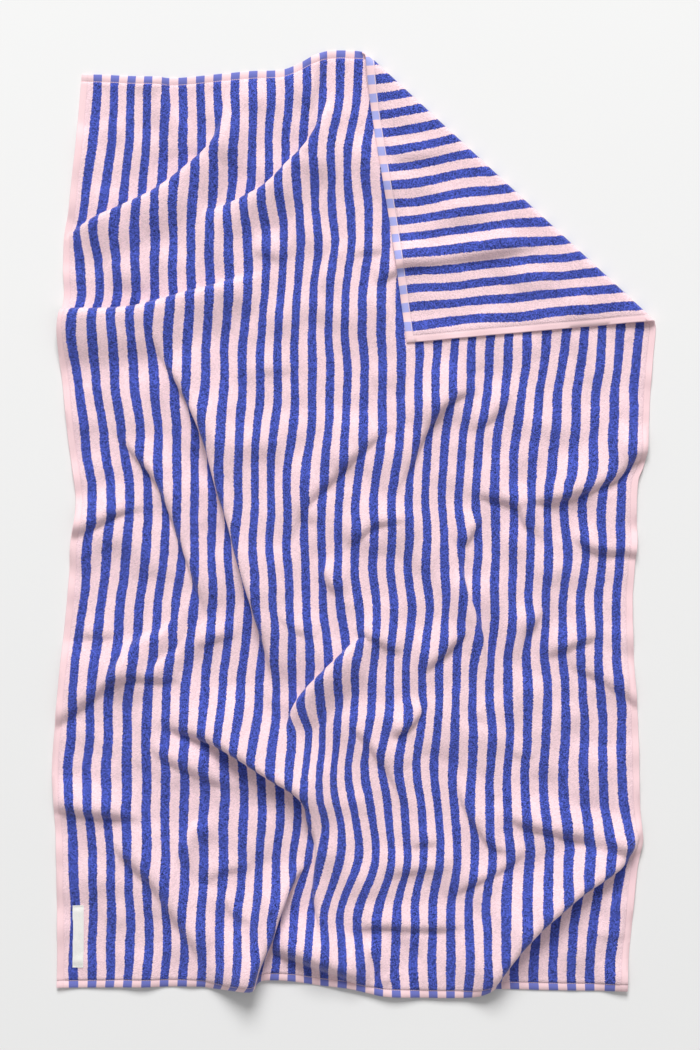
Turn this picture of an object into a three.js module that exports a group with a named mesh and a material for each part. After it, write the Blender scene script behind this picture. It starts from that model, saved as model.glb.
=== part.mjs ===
// Bath towel of striped terry, laid out with its upper right corner turned over. Millimetres, +Z up.
//
// The towel is one hemmed cloth. It is drawn flat, slid into its outline, raised into its folds,
// and turned over along the crease of the corner. A blank sewn label lies near the lower left corner.
// X is across the towel, Y runs along its stripes, and the floor is at Z = 0.
import * as THREE from 'three';

// Cloth
const CLOTH_WIDTH = 1000;
const CLOTH_LENGTH = 1600;
const CLOTH_THICKNESS = 3;
const TIGHTEST_BEND = 8;

// Turned corner
const CREASE_FROM = [12, 738];
const CREASE_TO = [469, 314];
const BEND_RADIUS = 6;
const BEND_STEPS = 5;
const FLAP_CLEARANCE = 2;
const FLAP_SETTLES_OVER = 60;
const CALM_BESIDE_CREASE = 60;

// Label
const LABEL_WIDTH = 18;
const LABEL_LENGTH = 106;
const LABEL_THICKNESS = 0.8;
const LABEL_FROM_LEFT_EDGE = 25.5;
const LABEL_FROM_LOWER_EDGE = 34.5;
const LABEL_GAP = 0.3;
const LABEL_STEPS = 6;

// Way of laying
const LAY_STEP = 10;
const LAY_ROUNDS = 4;
const SHEAR_REACH = 3;
const OUTLINE_REACH = 280;
const HEM_REACH_LOW = 98;
const HEM_REACH_TOP = 168;
const SHORTEST_RUN = 1;

// Fineness of the faces
const SHEET_CELL = 50;
const SURFACE_TOLERANCE = 2.6;
const SHORTEST_EDGE = 18;
const LONGEST_BEND_EDGE = 50;
const SPLIT_ROUNDS = 8;
const LOOKED_AT = [0.25, 0.5, 0.75];
const CURVE_STEPS = 5;
const SNAP = 3;
const SNAP_SHARE = 0.49;
const PROBE = 0.5;
const TINY = 1e-6;

// Sides of the cloth as it lies, with the corner still unturned. Each row gives a place along the side
// first, and then where the side lies there.
const LEFT_SIDE = [
  { y: 700, x: -423 },
  { y: 600, x: -431 },
  { y: 490, x: -442 },
  { y: 440, x: -451 },
  { y: 350, x: -450 },
  { y: 305, x: -461 },
  { y: 210, x: -453 },
  { y: 70, x: -436 },
  { y: 23, x: -433 },
  { y: -23, x: -440 },
  { y: -117, x: -445 },
  { y: -250, x: -460 },
  { y: -395, x: -468 },
  { y: -490, x: -464 },
  { y: -600, x: -462 },
  { y: -720, x: -462 },
];
const RIGHT_SIDE = [
  { y: 705, x: 474 },
  { y: 303, x: 468 },
  { y: 210, x: 461 },
  { y: 117, x: 456 },
  { y: 70, x: 442 },
  { y: 23, x: 439 },
  { y: -117, x: 433 },
  { y: -210, x: 434 },
  { y: -303, x: 440 },
  { y: -443, x: 443 },
  { y: -490, x: 448 },
  { y: -537, x: 440 },
  { y: -630, x: 431 },
  { y: -677, x: 425 },
  { y: -725, x: 425 },
];
const TOP_SIDE = [
  { x: -423, y: 700 },
  { x: -294, y: 694 },
  { x: -240, y: 694 },
  { x: -177, y: 703 },
  { x: -107, y: 708 },
  { x: -68, y: 728 },
  { x: -37, y: 737 },
  { x: 12, y: 738 },
  { x: 300, y: 717 },
  { x: 474, y: 705 },
];
const LOWER_SIDE = [
  { x: -462, y: -720 },
  { x: -240, y: -719 },
  { x: -170, y: -719 },
  { x: -145, y: -709 },
  { x: -100, y: -709 },
  { x: 0, y: -721 },
  { x: 55, y: -733 },
  { x: 185, y: -734 },
  { x: 225, y: -722 },
  { x: 320, y: -723 },
  { x: 425, y: -725 },
];

// Folds of the cloth on the floor. The line runs along the middle of a fold's steep flank, with its crest
// on the left hand. The flank and the back, which is the gentle side, have a width at each end of the line.
const FOLDS = [
  { name: 'top left', rise: 28, flank: [30, 55], back: [70, 120],
    line: [[-434, 431], [-380, 456], [-317, 490], [-220, 520]] },
  { name: 'top middle', rise: 25, flank: [26, 48], back: [70, 120],
    line: [[-255, 448], [-170, 485], [-84, 508]] },
  { name: 'upper left', rise: 33, flank: [35, 36], back: [82, 82],
    line: [[-448, 282], [-364, 306], [-286, 324], [-209, 348], [-150, 375]] },
  { name: 'left middle', rise: 26, flank: [28, 20], back: [55, 42],
    line: [[-440, -10], [-400, 6], [-365, 22], [-310, 27]] },
  { name: 'long crease', rise: 16, flank: [12, 13], back: [68, 55],
    line: [[-319, 290], [-266, 198], [-213, 58], [-164, -116], [-140, -220]] },
  { name: 'left crease', rise: 16, flank: [15, 12], back: [48, 42],
    line: [[-366, 144], [-310, 82], [-275, 0], [-240, -125]] },
  { name: 'centre up', rise: 19, flank: [14, 12], back: [68, 55],
    line: [[-94, -15], [-72, 29], [-10, 87], [70, 159]] },
  { name: 'centre right up', rise: 24, flank: [16, 22], back: [55, 60],
    line: [[63, 44], [82, 87], [126, 164], [200, 206]] },
  { name: 'right middle', rise: 31, flank: [20, 30], back: [48, 55],
    line: [[255, 42], [319, 41], [380, 60], [420, 86], [452, 120]] },
  { name: 'right fork', rise: 19, flank: [16, 18], back: [42, 42],
    line: [[186, 50], [242, 29], [270, -10], [305, -42]] },
  { name: 'right low', rise: 21, flank: [14, 22], back: [42, 42],
    line: [[334, -12], [367, -34], [400, -41], [445, -45]] },
  { name: 'centre low right', rise: 22, flank: [18, 14], back: [48, 42],
    line: [[106, -228], [142, -192], [182, -160]] },
  { name: 'centre low left', rise: 22, flank: [14, 18], back: [42, 42],
    line: [[2, -158], [34, -176], [72, -202]] },
  { name: 'centre low', rise: 34, flank: [18, 24], back: [48, 48],
    line: [[-86, -300], [-50, -266], [-10, -229], [40, -198]] },
  { name: 'right dip', rise: 17, flank: [14, 18], back: [42, 42],
    line: [[296, -210], [335, -189], [388, -168]] },
  { name: 'right dip low', rise: 19, flank: [14, 24], back: [55, 55],
    line: [[340, -215], [390, -246], [440, -294]] },
  { name: 'low knot', rise: 22, flank: [18, 14], back: [42, 35],
    line: [[63, -326], [92, -302], [118, -268]] },
  { name: 'low thin', rise: 14, flank: [14, 14], back: [48, 48],
    line: [[-18, -300], [18, -332], [50, -388], [84, -448]] },
  { name: 'great left', rise: 47, flank: [20, 46], back: [80, 80],
    line: [[-305, -313], [-245, -330], [-175, -378], [-115, -412], [-60, -425]] },
  { name: 'second left', rise: 20, flank: [18, 20], back: [35, 35],
    line: [[-330, -325], [-312, -352], [-260, -379], [-170, -423]] },
  { name: 'left arc', rise: 24, flank: [28, 20], back: [55, 105],
    line: [[-460, -308], [-410, -276], [-355, -242], [-250, -238]] },
  { name: 'left low', rise: 26, flank: [26, 18], back: [55, 66],
    line: [[-462, -438], [-400, -448], [-310, -466]] },
  { name: 'corner left', rise: 24, flank: [16, 20], back: [55, 55],
    line: [[-394, -478], [-343, -532], [-294, -582], [-248, -662]] },
  { name: 'small bow', rise: 12, flank: [14, 14], back: [35, 35],
    line: [[-234, -554], [-214, -538], [-166, -535]] },
  { name: 'small hook', rise: 14, flank: [14, 14], back: [35, 35],
    line: [[-216, -566], [-189, -590], [-160, -619]] },
  { name: 'hem left', rise: 46, flank: [28, 14], back: [68, 48],
    line: [[-163, -730], [-146, -672], [-112, -600], [-72, -525]] },
  { name: 'hem middle', rise: 37, flank: [20, 28], back: [55, 55],
    line: [[-142, -650], [-92, -658], [-40, -680], [30, -722]] },
  { name: 'low level', rise: 15, flank: [16, 16], back: [42, 42],
    line: [[-2, -630], [60, -623], [140, -626], [220, -630]] },
  { name: 'low bend', rise: 22, flank: [15, 20], back: [55, 42],
    line: [[154, -384], [174, -434], [204, -488], [250, -508]] },
  { name: 'low rise', rise: 19, flank: [15, 16], back: [42, 42],
    line: [[130, -582], [195, -558], [240, -528], [286, -494]] },
  { name: 'right shelf', rise: 24, flank: [16, 22], back: [55, 55],
    line: [[230, -457], [300, -471], [380, -492], [450, -508]] },
  { name: 'great right', rise: 46, flank: [32, 24], back: [95, 68],
    line: [[185, -740], [220, -702], [275, -644], [340, -585], [404, -543], [450, -496]] },
  { name: 'centre left', rise: 15, flank: [14, 16], back: [42, 42],
    line: [[-62, -38], [-50, -79], [-12, -112]] },
  { name: 'centre bow', rise: 17, flank: [16, 15], back: [42, 42],
    line: [[-16, -44], [25, -11], [96, 9]] },
];

// Folds of the turned corner, in the same terms, where it lies.
const CORNER_FOLDS = [
  { name: 'corner lower', rise: 10, flank: [24, 24], back: [48, 42],
    line: [[60, 402], [150, 415], [240, 427], [330, 439]] },
];

// Share of a fold's line over which it grows at each end, and how far past the end it still shows.
const FOLD_GROWS_OVER = 0.4;
const FOLD_OVERRUN = 0.12;

// A number between two, and a soft step from 0 to 1.
const mix = (from, to, share) => from + (to - from) * share;

function softStep(value) {
  const share = Math.min(Math.max(value, 0), 1);
  return share * share * (3 - 2 * share);
}

// A side's place, read along its table by a smooth curve through the rows.
function sidePlace(rows, along, across) {
  const sorted = [...rows].sort((a, b) => a[along] - b[along]);
  return (place) => {
    const last = sorted.length - 1;
    const inside = Math.min(Math.max(place, sorted[0][along]), sorted[last][along]);
    let row = 0;
    while (row < last - 1 && sorted[row + 1][along] < inside) row += 1;
    const here = sorted[row];
    const next = sorted[row + 1];
    const before = sorted[Math.max(row - 1, 0)];
    const after = sorted[Math.min(row + 2, last)];
    const span = next[along] - here[along];
    const slopeHere = (next[across] - before[across]) / (next[along] - before[along]);
    const slopeNext = (after[across] - here[across]) / (after[along] - here[along]);
    const share = (inside - here[along]) / span;
    const bow = share * (1 - share) * span;
    const straight = mix(here[across], next[across], softStep(share));
    return straight + bow * ((1 - share) * slopeHere - share * slopeNext);
  };
}

const leftSide = sidePlace(LEFT_SIDE, 'y', 'x');
const rightSide = sidePlace(RIGHT_SIDE, 'y', 'x');
const topSide = sidePlace(TOP_SIDE, 'x', 'y');
const lowerSide = sidePlace(LOWER_SIDE, 'x', 'y');

// A fold's line as short straight lengths along a smooth curve through its points.
function foldLengths(fold) {
  const curve = new THREE.CatmullRomCurve3(fold.line.map(([x, y]) => new THREE.Vector3(x, y, 0)));
  const points = curve.getPoints(CURVE_STEPS * (fold.line.length - 1));
  const lengths = [];
  let from = 0;
  for (let index = 0; index < points.length - 1; index += 1) {
    const run = points[index + 1].clone().sub(points[index]);
    const length = run.length();
    lengths.push({ start: points[index], way: run.normalize(), length, from });
    from += length;
  }
  return { lengths, total: from };
}

function prepareFold(fold) {
  const { lengths, total } = foldLengths(fold);
  const narrowest = Math.sqrt(6 * TIGHTEST_BEND * fold.rise);
  const flank = fold.flank.map((width) => Math.max(width, narrowest));
  const reach = Math.max(...flank) + Math.max(...fold.back) + FOLD_OVERRUN * total;
  const xs = fold.line.map((point) => point[0]);
  const ys = fold.line.map((point) => point[1]);
  const low = [Math.min(...xs) - reach, Math.min(...ys) - reach];
  const high = [Math.max(...xs) + reach, Math.max(...ys) + reach];
  return { ...fold, flank, lengths, total, low, high };
}

// Where a place lies by a fold: how far left of its line, and at which share of its length.
function placeByFold(fold, x, y) {
  let best = { gap: Infinity };
  fold.lengths.forEach((part, index) => {
    const dx = x - part.start.x;
    const dy = y - part.start.y;
    const along = dx * part.way.x + dy * part.way.y;
    const low = index === 0 ? -Infinity : 0;
    const high = index === fold.lengths.length - 1 ? Infinity : part.length;
    const held = Math.min(Math.max(along, low), high);
    const aside = Math.hypot(dx - held * part.way.x, dy - held * part.way.y);
    const past = Math.max(-held, held - part.length, 0);
    const gap = Math.hypot(aside, past);
    if (gap < best.gap) {
      const hand = Math.sign(dy * part.way.x - dx * part.way.y);
      best = { gap, left: hand * aside, share: (part.from + held) / fold.total };
    }
  });
  return best;
}

function foldHeight(fold, x, y) {
  if (x < fold.low[0] || x > fold.high[0] || y < fold.low[1] || y > fold.high[1]) return 0;
  const { left, share } = placeByFold(fold, x, y);
  const grown = softStep((share + FOLD_OVERRUN) / (FOLD_GROWS_OVER + FOLD_OVERRUN));
  const remains = softStep((1 + FOLD_OVERRUN - share) / (FOLD_GROWS_OVER + FOLD_OVERRUN));
  const held = Math.min(Math.max(share, 0), 1);
  const flank = mix(fold.flank[0], fold.flank[1], held);
  const back = mix(fold.back[0], fold.back[1], held);
  const climb = softStep(left / flank + 0.5);
  const fall = 1 - softStep((left - flank / 2) / back);
  return fold.rise * grown * remains * climb * fall;
}

const floorFolds = FOLDS.map(prepareFold);
const cornerFolds = CORNER_FOLDS.map(prepareFold);

const creaseWay = new THREE.Vector2(...CREASE_TO).sub(new THREE.Vector2(...CREASE_FROM)).normalize();
const creaseOut = new THREE.Vector2(-creaseWay.y, creaseWay.x);
const BEND_INSET = BEND_RADIUS + CLOTH_THICKNESS / 2;
const BEND_ARC = Math.PI * BEND_RADIUS;
const FLAP_LIFT = CLOTH_THICKNESS + FLAP_CLEARANCE;

// How far a place lies past the line where the corner starts to bend up.
function pastBend(x, y) {
  return (x - CREASE_FROM[0]) * creaseOut.x + (y - CREASE_FROM[1]) * creaseOut.y + BEND_INSET;
}

// Height of the folds at a place on the floor.
function terrain(x, y) {
  const calm = softStep(-pastBend(x, y) / CALM_BESIDE_CREASE);
  if (calm === 0) return 0;
  return calm * floorFolds.reduce((sum, fold) => sum + foldHeight(fold, x, y), 0);
}

// Lays the flat cloth: its outline is the tables', and where it climbs a fold it takes up less floor.
function layCloth() {
  const columns = CLOTH_WIDTH / LAY_STEP;
  const rows = CLOTH_LENGTH / LAY_STEP;
  const corner = {
    lowerLeft: [LEFT_SIDE.at(-1).x, LEFT_SIDE.at(-1).y],
    lowerRight: [RIGHT_SIDE.at(-1).x, RIGHT_SIDE.at(-1).y],
    topLeft: [LEFT_SIDE[0].x, LEFT_SIDE[0].y],
    topRight: [RIGHT_SIDE[0].x, RIGHT_SIDE[0].y],
  };
  const grid = () => Array.from({ length: rows + 1 }, () => new Float64Array(columns + 1));
  const shareX = grid();
  const shareY = grid();
  const placeX = grid();
  const placeY = grid();
  const height = grid();

  for (let row = 0; row <= rows; row += 1) {
    for (let column = 0; column <= columns; column += 1) {
      shareX[row][column] = column / columns;
      shareY[row][column] = row / rows;
    }
  }

  const fade = (distance, reach) => 1 - softStep(distance / reach);
  const settleIn = () => {
    for (let row = 0; row <= rows; row += 1) {
      for (let column = 0; column <= columns; column += 1) {
        const a = shareX[row][column];
        const b = shareY[row][column];
        const low = mix(corner.lowerLeft[0], corner.lowerRight[0], a);
        const top = mix(corner.topLeft[0], corner.topRight[0], a);
        placeX[row][column] = mix(low, top, b);
        placeY[row][column] = mix(
          mix(corner.lowerLeft[1], corner.lowerRight[1], a),
          mix(corner.topLeft[1], corner.topRight[1], a),
          b,
        );
      }
    }
    const shiftLeft = placeX.map((line, row) => leftSide(placeY[row][0]) - line[0]);
    const shiftRight = placeX.map((line, row) => rightSide(placeY[row][columns]) - line[columns]);
    const shiftLow = placeY[0].map((y, column) => lowerSide(placeX[0][column]) - y);
    const shiftTop = placeY[rows].map((y, column) => topSide(placeX[rows][column]) - y);
    for (let row = 0; row <= rows; row += 1) {
      for (let column = 0; column <= columns; column += 1) {
        const fromLeft = column * LAY_STEP;
        const fromLow = row * LAY_STEP;
        placeX[row][column] += shiftLeft[row] * fade(fromLeft, OUTLINE_REACH)
          + shiftRight[row] * fade(CLOTH_WIDTH - fromLeft, OUTLINE_REACH);
        placeY[row][column] += shiftLow[column] * fade(fromLow, HEM_REACH_LOW)
          + shiftTop[column] * fade(CLOTH_LENGTH - fromLow, HEM_REACH_TOP);
      }
    }
  };

  // The floor that each step of cloth covers, summed along a row or a column and shared out evenly.
  const shareOut = (heights, places) => {
    const sums = [0];
    for (let index = 1; index < heights.length; index += 1) {
      const run = Math.max(places[index] - places[index - 1], SHORTEST_RUN);
      const slope = (heights[index] - heights[index - 1]) / run;
      sums.push(sums[index - 1] + 1 / Math.hypot(1, slope));
    }
    return sums.map((sum) => sum / sums.at(-1));
  };

  // The cloth resists shear, so a row's shift is shared with the rows beside it.
  const shared = (shares, even, count) => shares.map((_, index) => {
    let sum = 0;
    let weight = 0;
    for (let offset = -2 * SHEAR_REACH; offset <= 2 * SHEAR_REACH; offset += 1) {
      const near = Math.min(Math.max(index + offset, 0), count);
      const part = Math.exp(-0.5 * (offset / SHEAR_REACH) ** 2);
      sum += part * (shares[near] - even(near));
      weight += part;
    }
    return even(index) + sum / weight;
  });

  for (let round = 0; round < LAY_ROUNDS; round += 1) {
    settleIn();
    for (let row = 0; row <= rows; row += 1) {
      for (let column = 0; column <= columns; column += 1) {
        height[row][column] = terrain(placeX[row][column], placeY[row][column]);
      }
    }
    for (let row = 0; row <= rows; row += 1) {
      const shares = shareOut([...height[row]], [...placeX[row]]);
      shares.forEach((share, column) => { shareX[row][column] = share; });
    }
    for (let column = 0; column <= columns; column += 1) {
      const heights = height.map((line) => line[column]);
      const places = placeY.map((line) => line[column]);
      shareOut(heights, places).forEach((share, row) => { shareY[row][column] = share; });
    }
    for (let column = 0; column <= columns; column += 1) {
      const smooth = shared(shareX.map((line) => line[column]), () => column / columns, rows);
      smooth.forEach((share, row) => { shareX[row][column] = share; });
    }
    for (let row = 0; row <= rows; row += 1) {
      const smooth = shared([...shareY[row]], () => row / rows, columns);
      smooth.forEach((share, column) => { shareY[row][column] = share; });
    }
  }
  settleIn();

  // Place of any point of the flat cloth, read between the steps.
  return (u, v) => {
    const across = Math.min((u + CLOTH_WIDTH / 2) / LAY_STEP, columns - TINY);
    const along = Math.min((v + CLOTH_LENGTH / 2) / LAY_STEP, rows - TINY);
    const column = Math.floor(across);
    const row = Math.floor(along);
    const read = (place) => mix(
      mix(place[row][column], place[row][column + 1], across - column),
      mix(place[row + 1][column], place[row + 1][column + 1], across - column),
      along - row,
    );
    return { x: read(placeX), y: read(placeY) };
  };
}

// Height of the middle of the cloth over the floor, and its place, once the corner is turned over.
function settle(x, y) {
  const past = pastBend(x, y);
  if (past <= 0) return new THREE.Vector3(x, y, CLOTH_THICKNESS / 2 + terrain(x, y));
  let outward = BEND_RADIUS * Math.sin(past / BEND_RADIUS);
  let lift = BEND_RADIUS * (1 - Math.cos(past / BEND_RADIUS));
  let settled = 0;
  if (past > BEND_ARC) {
    settled = softStep((past - BEND_ARC) / FLAP_SETTLES_OVER);
    outward = BEND_ARC - past;
    lift = mix(2 * BEND_RADIUS, FLAP_LIFT, settled);
  }
  const turnedX = x + (outward - past) * creaseOut.x;
  const turnedY = y + (outward - past) * creaseOut.y;
  const ownFolds = cornerFolds.reduce((sum, fold) => sum + foldHeight(fold, turnedX, turnedY), 0);
  const height = CLOTH_THICKNESS / 2 + terrain(turnedX, turnedY) + lift + settled * ownFolds;
  return new THREE.Vector3(turnedX, turnedY, height);
}

// Direction of the cloth's upper side where it lies flat, at a place before the corner is turned.
function facing(x, y) {
  const across = settle(x + PROBE, y).sub(settle(x - PROBE, y));
  const along = settle(x, y + PROBE).sub(settle(x, y - PROBE));
  return across.cross(along).normalize();
}

// Flat cloth in triangles, split where a straight edge would miss the folds.
function clothFaces(lay) {
  const points = [];
  const faces = [];
  const columns = CLOTH_WIDTH / SHEET_CELL;
  const rows = CLOTH_LENGTH / SHEET_CELL;
  const addPoint = (u, v) => {
    const { x, y } = lay(u, v);
    points.push({ u, v, x, y, middle: settle(x, y), past: pastBend(x, y) });
    return points.length - 1;
  };
  for (let row = 0; row <= rows; row += 1) {
    for (let column = 0; column <= columns; column += 1) {
      addPoint(column * SHEET_CELL - CLOTH_WIDTH / 2, row * SHEET_CELL - CLOTH_LENGTH / 2);
    }
  }
  for (let row = 0; row < rows; row += 1) {
    for (let column = 0; column < columns; column += 1) {
      const low = row * (columns + 1) + column;
      const top = low + columns + 1;
      if ((row + column) % 2 === 0) {
        faces.push([low, low + 1, top + 1], [low, top + 1, top]);
      } else {
        faces.push([low, low + 1, top], [low + 1, top + 1, top]);
      }
    }
  }

  const key = (a, b) => (a < b ? `${a} ${b}` : `${b} ${a}`);
  const flatLength = (a, b) => Math.hypot(points[a].u - points[b].u, points[a].v - points[b].v);
  const judged = new Map();
  const missesFolds = (a, b) => {
    const name = key(a, b);
    if (judged.has(name)) return judged.get(name);
    const start = points[a];
    const end = points[b];
    const length = flatLength(a, b);
    let misses = false;
    const low = Math.min(start.past, end.past);
    const high = Math.max(start.past, end.past);
    if (low < BEND_ARC && high > 0) {
      misses = length > LONGEST_BEND_EDGE;
    } else if (length > SHORTEST_EDGE) {
      LOOKED_AT.forEach((share) => {
        const { x, y } = lay(mix(start.u, end.u, share), mix(start.v, end.v, share));
        const straight = start.middle.clone().lerp(end.middle, share);
        if (settle(x, y).distanceTo(straight) > SURFACE_TOLERANCE) misses = true;
      });
    }
    judged.set(name, misses);
    return misses;
  };

  // A face as its longest edge and the point across from it.
  const turned = ([a, b, c]) => {
    const ab = flatLength(a, b);
    const bc = flatLength(b, c);
    const ca = flatLength(c, a);
    if (ab >= bc && ab >= ca) return [a, b, c];
    if (bc >= ca) return [b, c, a];
    return [c, a, b];
  };
  let current = faces.map(turned);
  for (let pass = 0; pass < SPLIT_ROUNDS; pass += 1) {
    const marked = new Set();
    current.forEach(([a, b, c]) => {
      if (missesFolds(a, b) || missesFolds(b, c) || missesFolds(c, a)) marked.add(key(a, b));
    });
    if (marked.size === 0) break;
    let grew = true;
    while (grew) {
      grew = false;
      current.forEach(([a, b, c]) => {
        if (marked.has(key(a, b))) return;
        if (marked.has(key(b, c)) || marked.has(key(c, a))) {
          marked.add(key(a, b));
          grew = true;
        }
      });
    }
    const middles = new Map();
    const middleOf = (a, b) => {
      const name = key(a, b);
      if (!middles.has(name)) {
        middles.set(name, addPoint((points[a].u + points[b].u) / 2, (points[a].v + points[b].v) / 2));
      }
      return middles.get(name);
    };
    const next = [];
    const split = (face) => {
      const [a, b, c] = turned(face);
      if (!marked.has(key(a, b))) {
        next.push([a, b, c]);
        return;
      }
      const middle = middleOf(a, b);
      split([c, a, middle]);
      split([b, c, middle]);
    };
    current.forEach(split);
    current = next;
  }
  return { points, faces: current };
}

// Cuts the faces along lines beside the crease, so the bend of the corner is round and even.
function cutAlongBend({ points, faces }) {
  let current = faces;
  for (let step = 0; step <= BEND_STEPS; step += 1) {
    const line = (step * BEND_ARC) / BEND_STEPS;
    points.forEach((point) => {
      const off = point.past - line;
      if (Math.abs(off) > Math.min(SNAP, (SNAP_SHARE * BEND_ARC) / BEND_STEPS)) return;
      point.x -= off * creaseOut.x;
      point.y -= off * creaseOut.y;
      point.past = line;
    });
    const cuts = new Map();
    const cutOf = (a, b) => {
      const name = a < b ? `${a} ${b}` : `${b} ${a}`;
      if (!cuts.has(name)) {
        const share = (line - points[a].past) / (points[b].past - points[a].past);
        points.push({
          x: mix(points[a].x, points[b].x, share),
          y: mix(points[a].y, points[b].y, share),
          past: line,
        });
        cuts.set(name, points.length - 1);
      }
      return cuts.get(name);
    };
    const next = [];
    current.forEach((face) => {
      const sides = face.map((index) => Math.sign(points[index].past - line));
      if (!(sides.includes(1) && sides.includes(-1))) {
        next.push(face);
        return;
      }
      const alone = sides.includes(0)
        ? sides.indexOf(1)
        : sides.findIndex((side) => sides.filter((other) => other === side).length === 1);
      const a = face[alone];
      const b = face[(alone + 1) % 3];
      const c = face[(alone + 2) % 3];
      if (sides.includes(0)) {
        const onLine = face[sides.indexOf(0)];
        const far = onLine === b ? c : b;
        const cut = cutOf(a, far);
        if (onLine === b) next.push([a, b, cut], [b, c, cut]);
        else next.push([a, cut, c], [cut, b, c]);
        return;
      }
      const ab = cutOf(a, b);
      const ca = cutOf(a, c);
      next.push([a, ab, ca], [ab, b, c], [ab, c, ca]);
    });
    current = next;
  }
  return { points, faces: current };
}

// A closed sheet of some thickness on a net of middle points and the way each one faces.
function closedSheet(middles, normals, faces, thickness) {
  const count = middles.length;
  const positions = new Float32Array(count * 6);
  middles.forEach((middle, index) => {
    const upper = middle.clone().addScaledVector(normals[index], thickness / 2);
    const under = middle.clone().addScaledVector(normals[index], -thickness / 2);
    upper.toArray(positions, index * 3);
    under.toArray(positions, (count + index) * 3);
  });
  const indices = [];
  const edges = new Map();
  faces.forEach(([a, b, c]) => {
    indices.push(a, b, c, count + a, count + c, count + b);
    [[a, b], [b, c], [c, a]].forEach(([from, to]) => {
      if (edges.has(`${to} ${from}`)) edges.delete(`${to} ${from}`);
      else edges.set(`${from} ${to}`, [from, to]);
    });
  });
  edges.forEach(([from, to]) => {
    indices.push(from, count + from, to, to, count + from, count + to);
  });
  const geometry = new THREE.BufferGeometry();
  geometry.setAttribute('position', new THREE.BufferAttribute(positions, 3));
  geometry.setIndex(indices);
  geometry.computeVertexNormals();
  return geometry;
}

function towelGeometry(lay) {
  const { points, faces } = cutAlongBend(clothFaces(lay));
  const used = new Map();
  const middles = [];
  const normals = [];
  const renumbered = faces.map((face) => face.map((index) => {
    if (!used.has(index)) {
      used.set(index, middles.length);
      middles.push(settle(points[index].x, points[index].y));
      normals.push(facing(points[index].x, points[index].y));
    }
    return used.get(index);
  }));
  return closedSheet(middles, normals, renumbered, CLOTH_THICKNESS);
}

function labelGeometry(lay) {
  const middles = [];
  const normals = [];
  const faces = [];
  const left = LABEL_FROM_LEFT_EDGE - CLOTH_WIDTH / 2;
  const low = LABEL_FROM_LOWER_EDGE - CLOTH_LENGTH / 2;
  const raise = (CLOTH_THICKNESS + LABEL_THICKNESS) / 2 + LABEL_GAP;
  for (let row = 0; row <= LABEL_STEPS; row += 1) {
    for (let column = 0; column <= 1; column += 1) {
      const { x, y } = lay(left + column * LABEL_WIDTH, low + (row * LABEL_LENGTH) / LABEL_STEPS);
      const normal = facing(x, y);
      middles.push(settle(x, y).addScaledVector(normal, raise));
      normals.push(normal);
    }
  }
  for (let row = 0; row < LABEL_STEPS; row += 1) {
    const corner = row * 2;
    faces.push([corner, corner + 1, corner + 3], [corner, corner + 3, corner + 2]);
  }
  return closedSheet(middles, normals, faces, LABEL_THICKNESS);
}

const lay = layCloth();

const terry = new THREE.MeshStandardMaterial({
  name: 'terry',
  color: 0xdfb9d2,
  roughness: 0.95,
  metalness: 0,
});
const labelCloth = new THREE.MeshStandardMaterial({
  name: 'label cloth',
  color: 0xe9e7e1,
  roughness: 0.8,
  metalness: 0,
});

const towel = new THREE.Mesh(towelGeometry(lay), terry);
towel.name = 'towel';

const label = new THREE.Mesh(labelGeometry(lay), labelCloth);
label.name = 'label';

// The whole is set with the middle of the towel's box over the origin.
const box = new THREE.Box3().setFromObject(towel);
const centre = box.getCenter(new THREE.Vector3());
towel.position.set(-centre.x, -centre.y, -box.min.z);
label.position.copy(towel.position);

const part = new THREE.Group();
part.add(towel, label);

export default part;
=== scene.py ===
# %% [markdown]
# # A striped terry towel, laid out with one corner turned over
#
# The object is one hemmed cloth of about 1.0 by 1.6 metres on a pale floor. What makes it read as a towel
# is its outline, the push folds that wander across it, the stripes that bend over those folds, and the soft
# pile. This lesson first loads the solid model that the finished cloth must agree with. Its box is kept, so
# that the dressed towel can be centred on it.

# %% Load the solid model
import math

import bpy
import numpy as np
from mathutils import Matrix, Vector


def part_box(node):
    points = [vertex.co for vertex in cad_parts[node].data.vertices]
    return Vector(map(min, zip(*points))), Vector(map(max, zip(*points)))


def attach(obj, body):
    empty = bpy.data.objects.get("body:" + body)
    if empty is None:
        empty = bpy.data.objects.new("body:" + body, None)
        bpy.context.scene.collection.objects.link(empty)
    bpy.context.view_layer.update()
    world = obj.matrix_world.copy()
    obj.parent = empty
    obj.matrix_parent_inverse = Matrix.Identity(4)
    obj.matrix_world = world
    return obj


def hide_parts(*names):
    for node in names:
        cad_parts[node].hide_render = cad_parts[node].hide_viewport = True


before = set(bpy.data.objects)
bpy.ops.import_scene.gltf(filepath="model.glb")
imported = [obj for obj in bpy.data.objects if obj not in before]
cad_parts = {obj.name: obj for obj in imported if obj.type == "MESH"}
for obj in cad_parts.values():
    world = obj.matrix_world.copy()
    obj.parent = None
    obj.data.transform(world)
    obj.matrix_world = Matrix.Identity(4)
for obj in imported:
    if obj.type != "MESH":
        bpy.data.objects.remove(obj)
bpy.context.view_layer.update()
towel_low, towel_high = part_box("towel")
print("solid towel from", [round(v, 4) for v in towel_low], "to", [round(v, 4) for v in towel_high])

# %% [markdown]
# ## The camera
#
# The towel is seen from straight above, from about four metres, so its raised folds hardly lean outwards.
# The long side of the picture takes in a little more than the towel's length. A camera that looks straight
# down needs no aiming: an unturned camera in Blender already looks along -Z with +Y at the top of its
# picture.

# %% Place the camera
MM = 0.001
CAMERA_HEIGHT = 4.0
VIEW_LENGTH = 1.634
VIEW_CENTRE = (-0.0062, -0.0015)
SENSOR = 36.0

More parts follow.
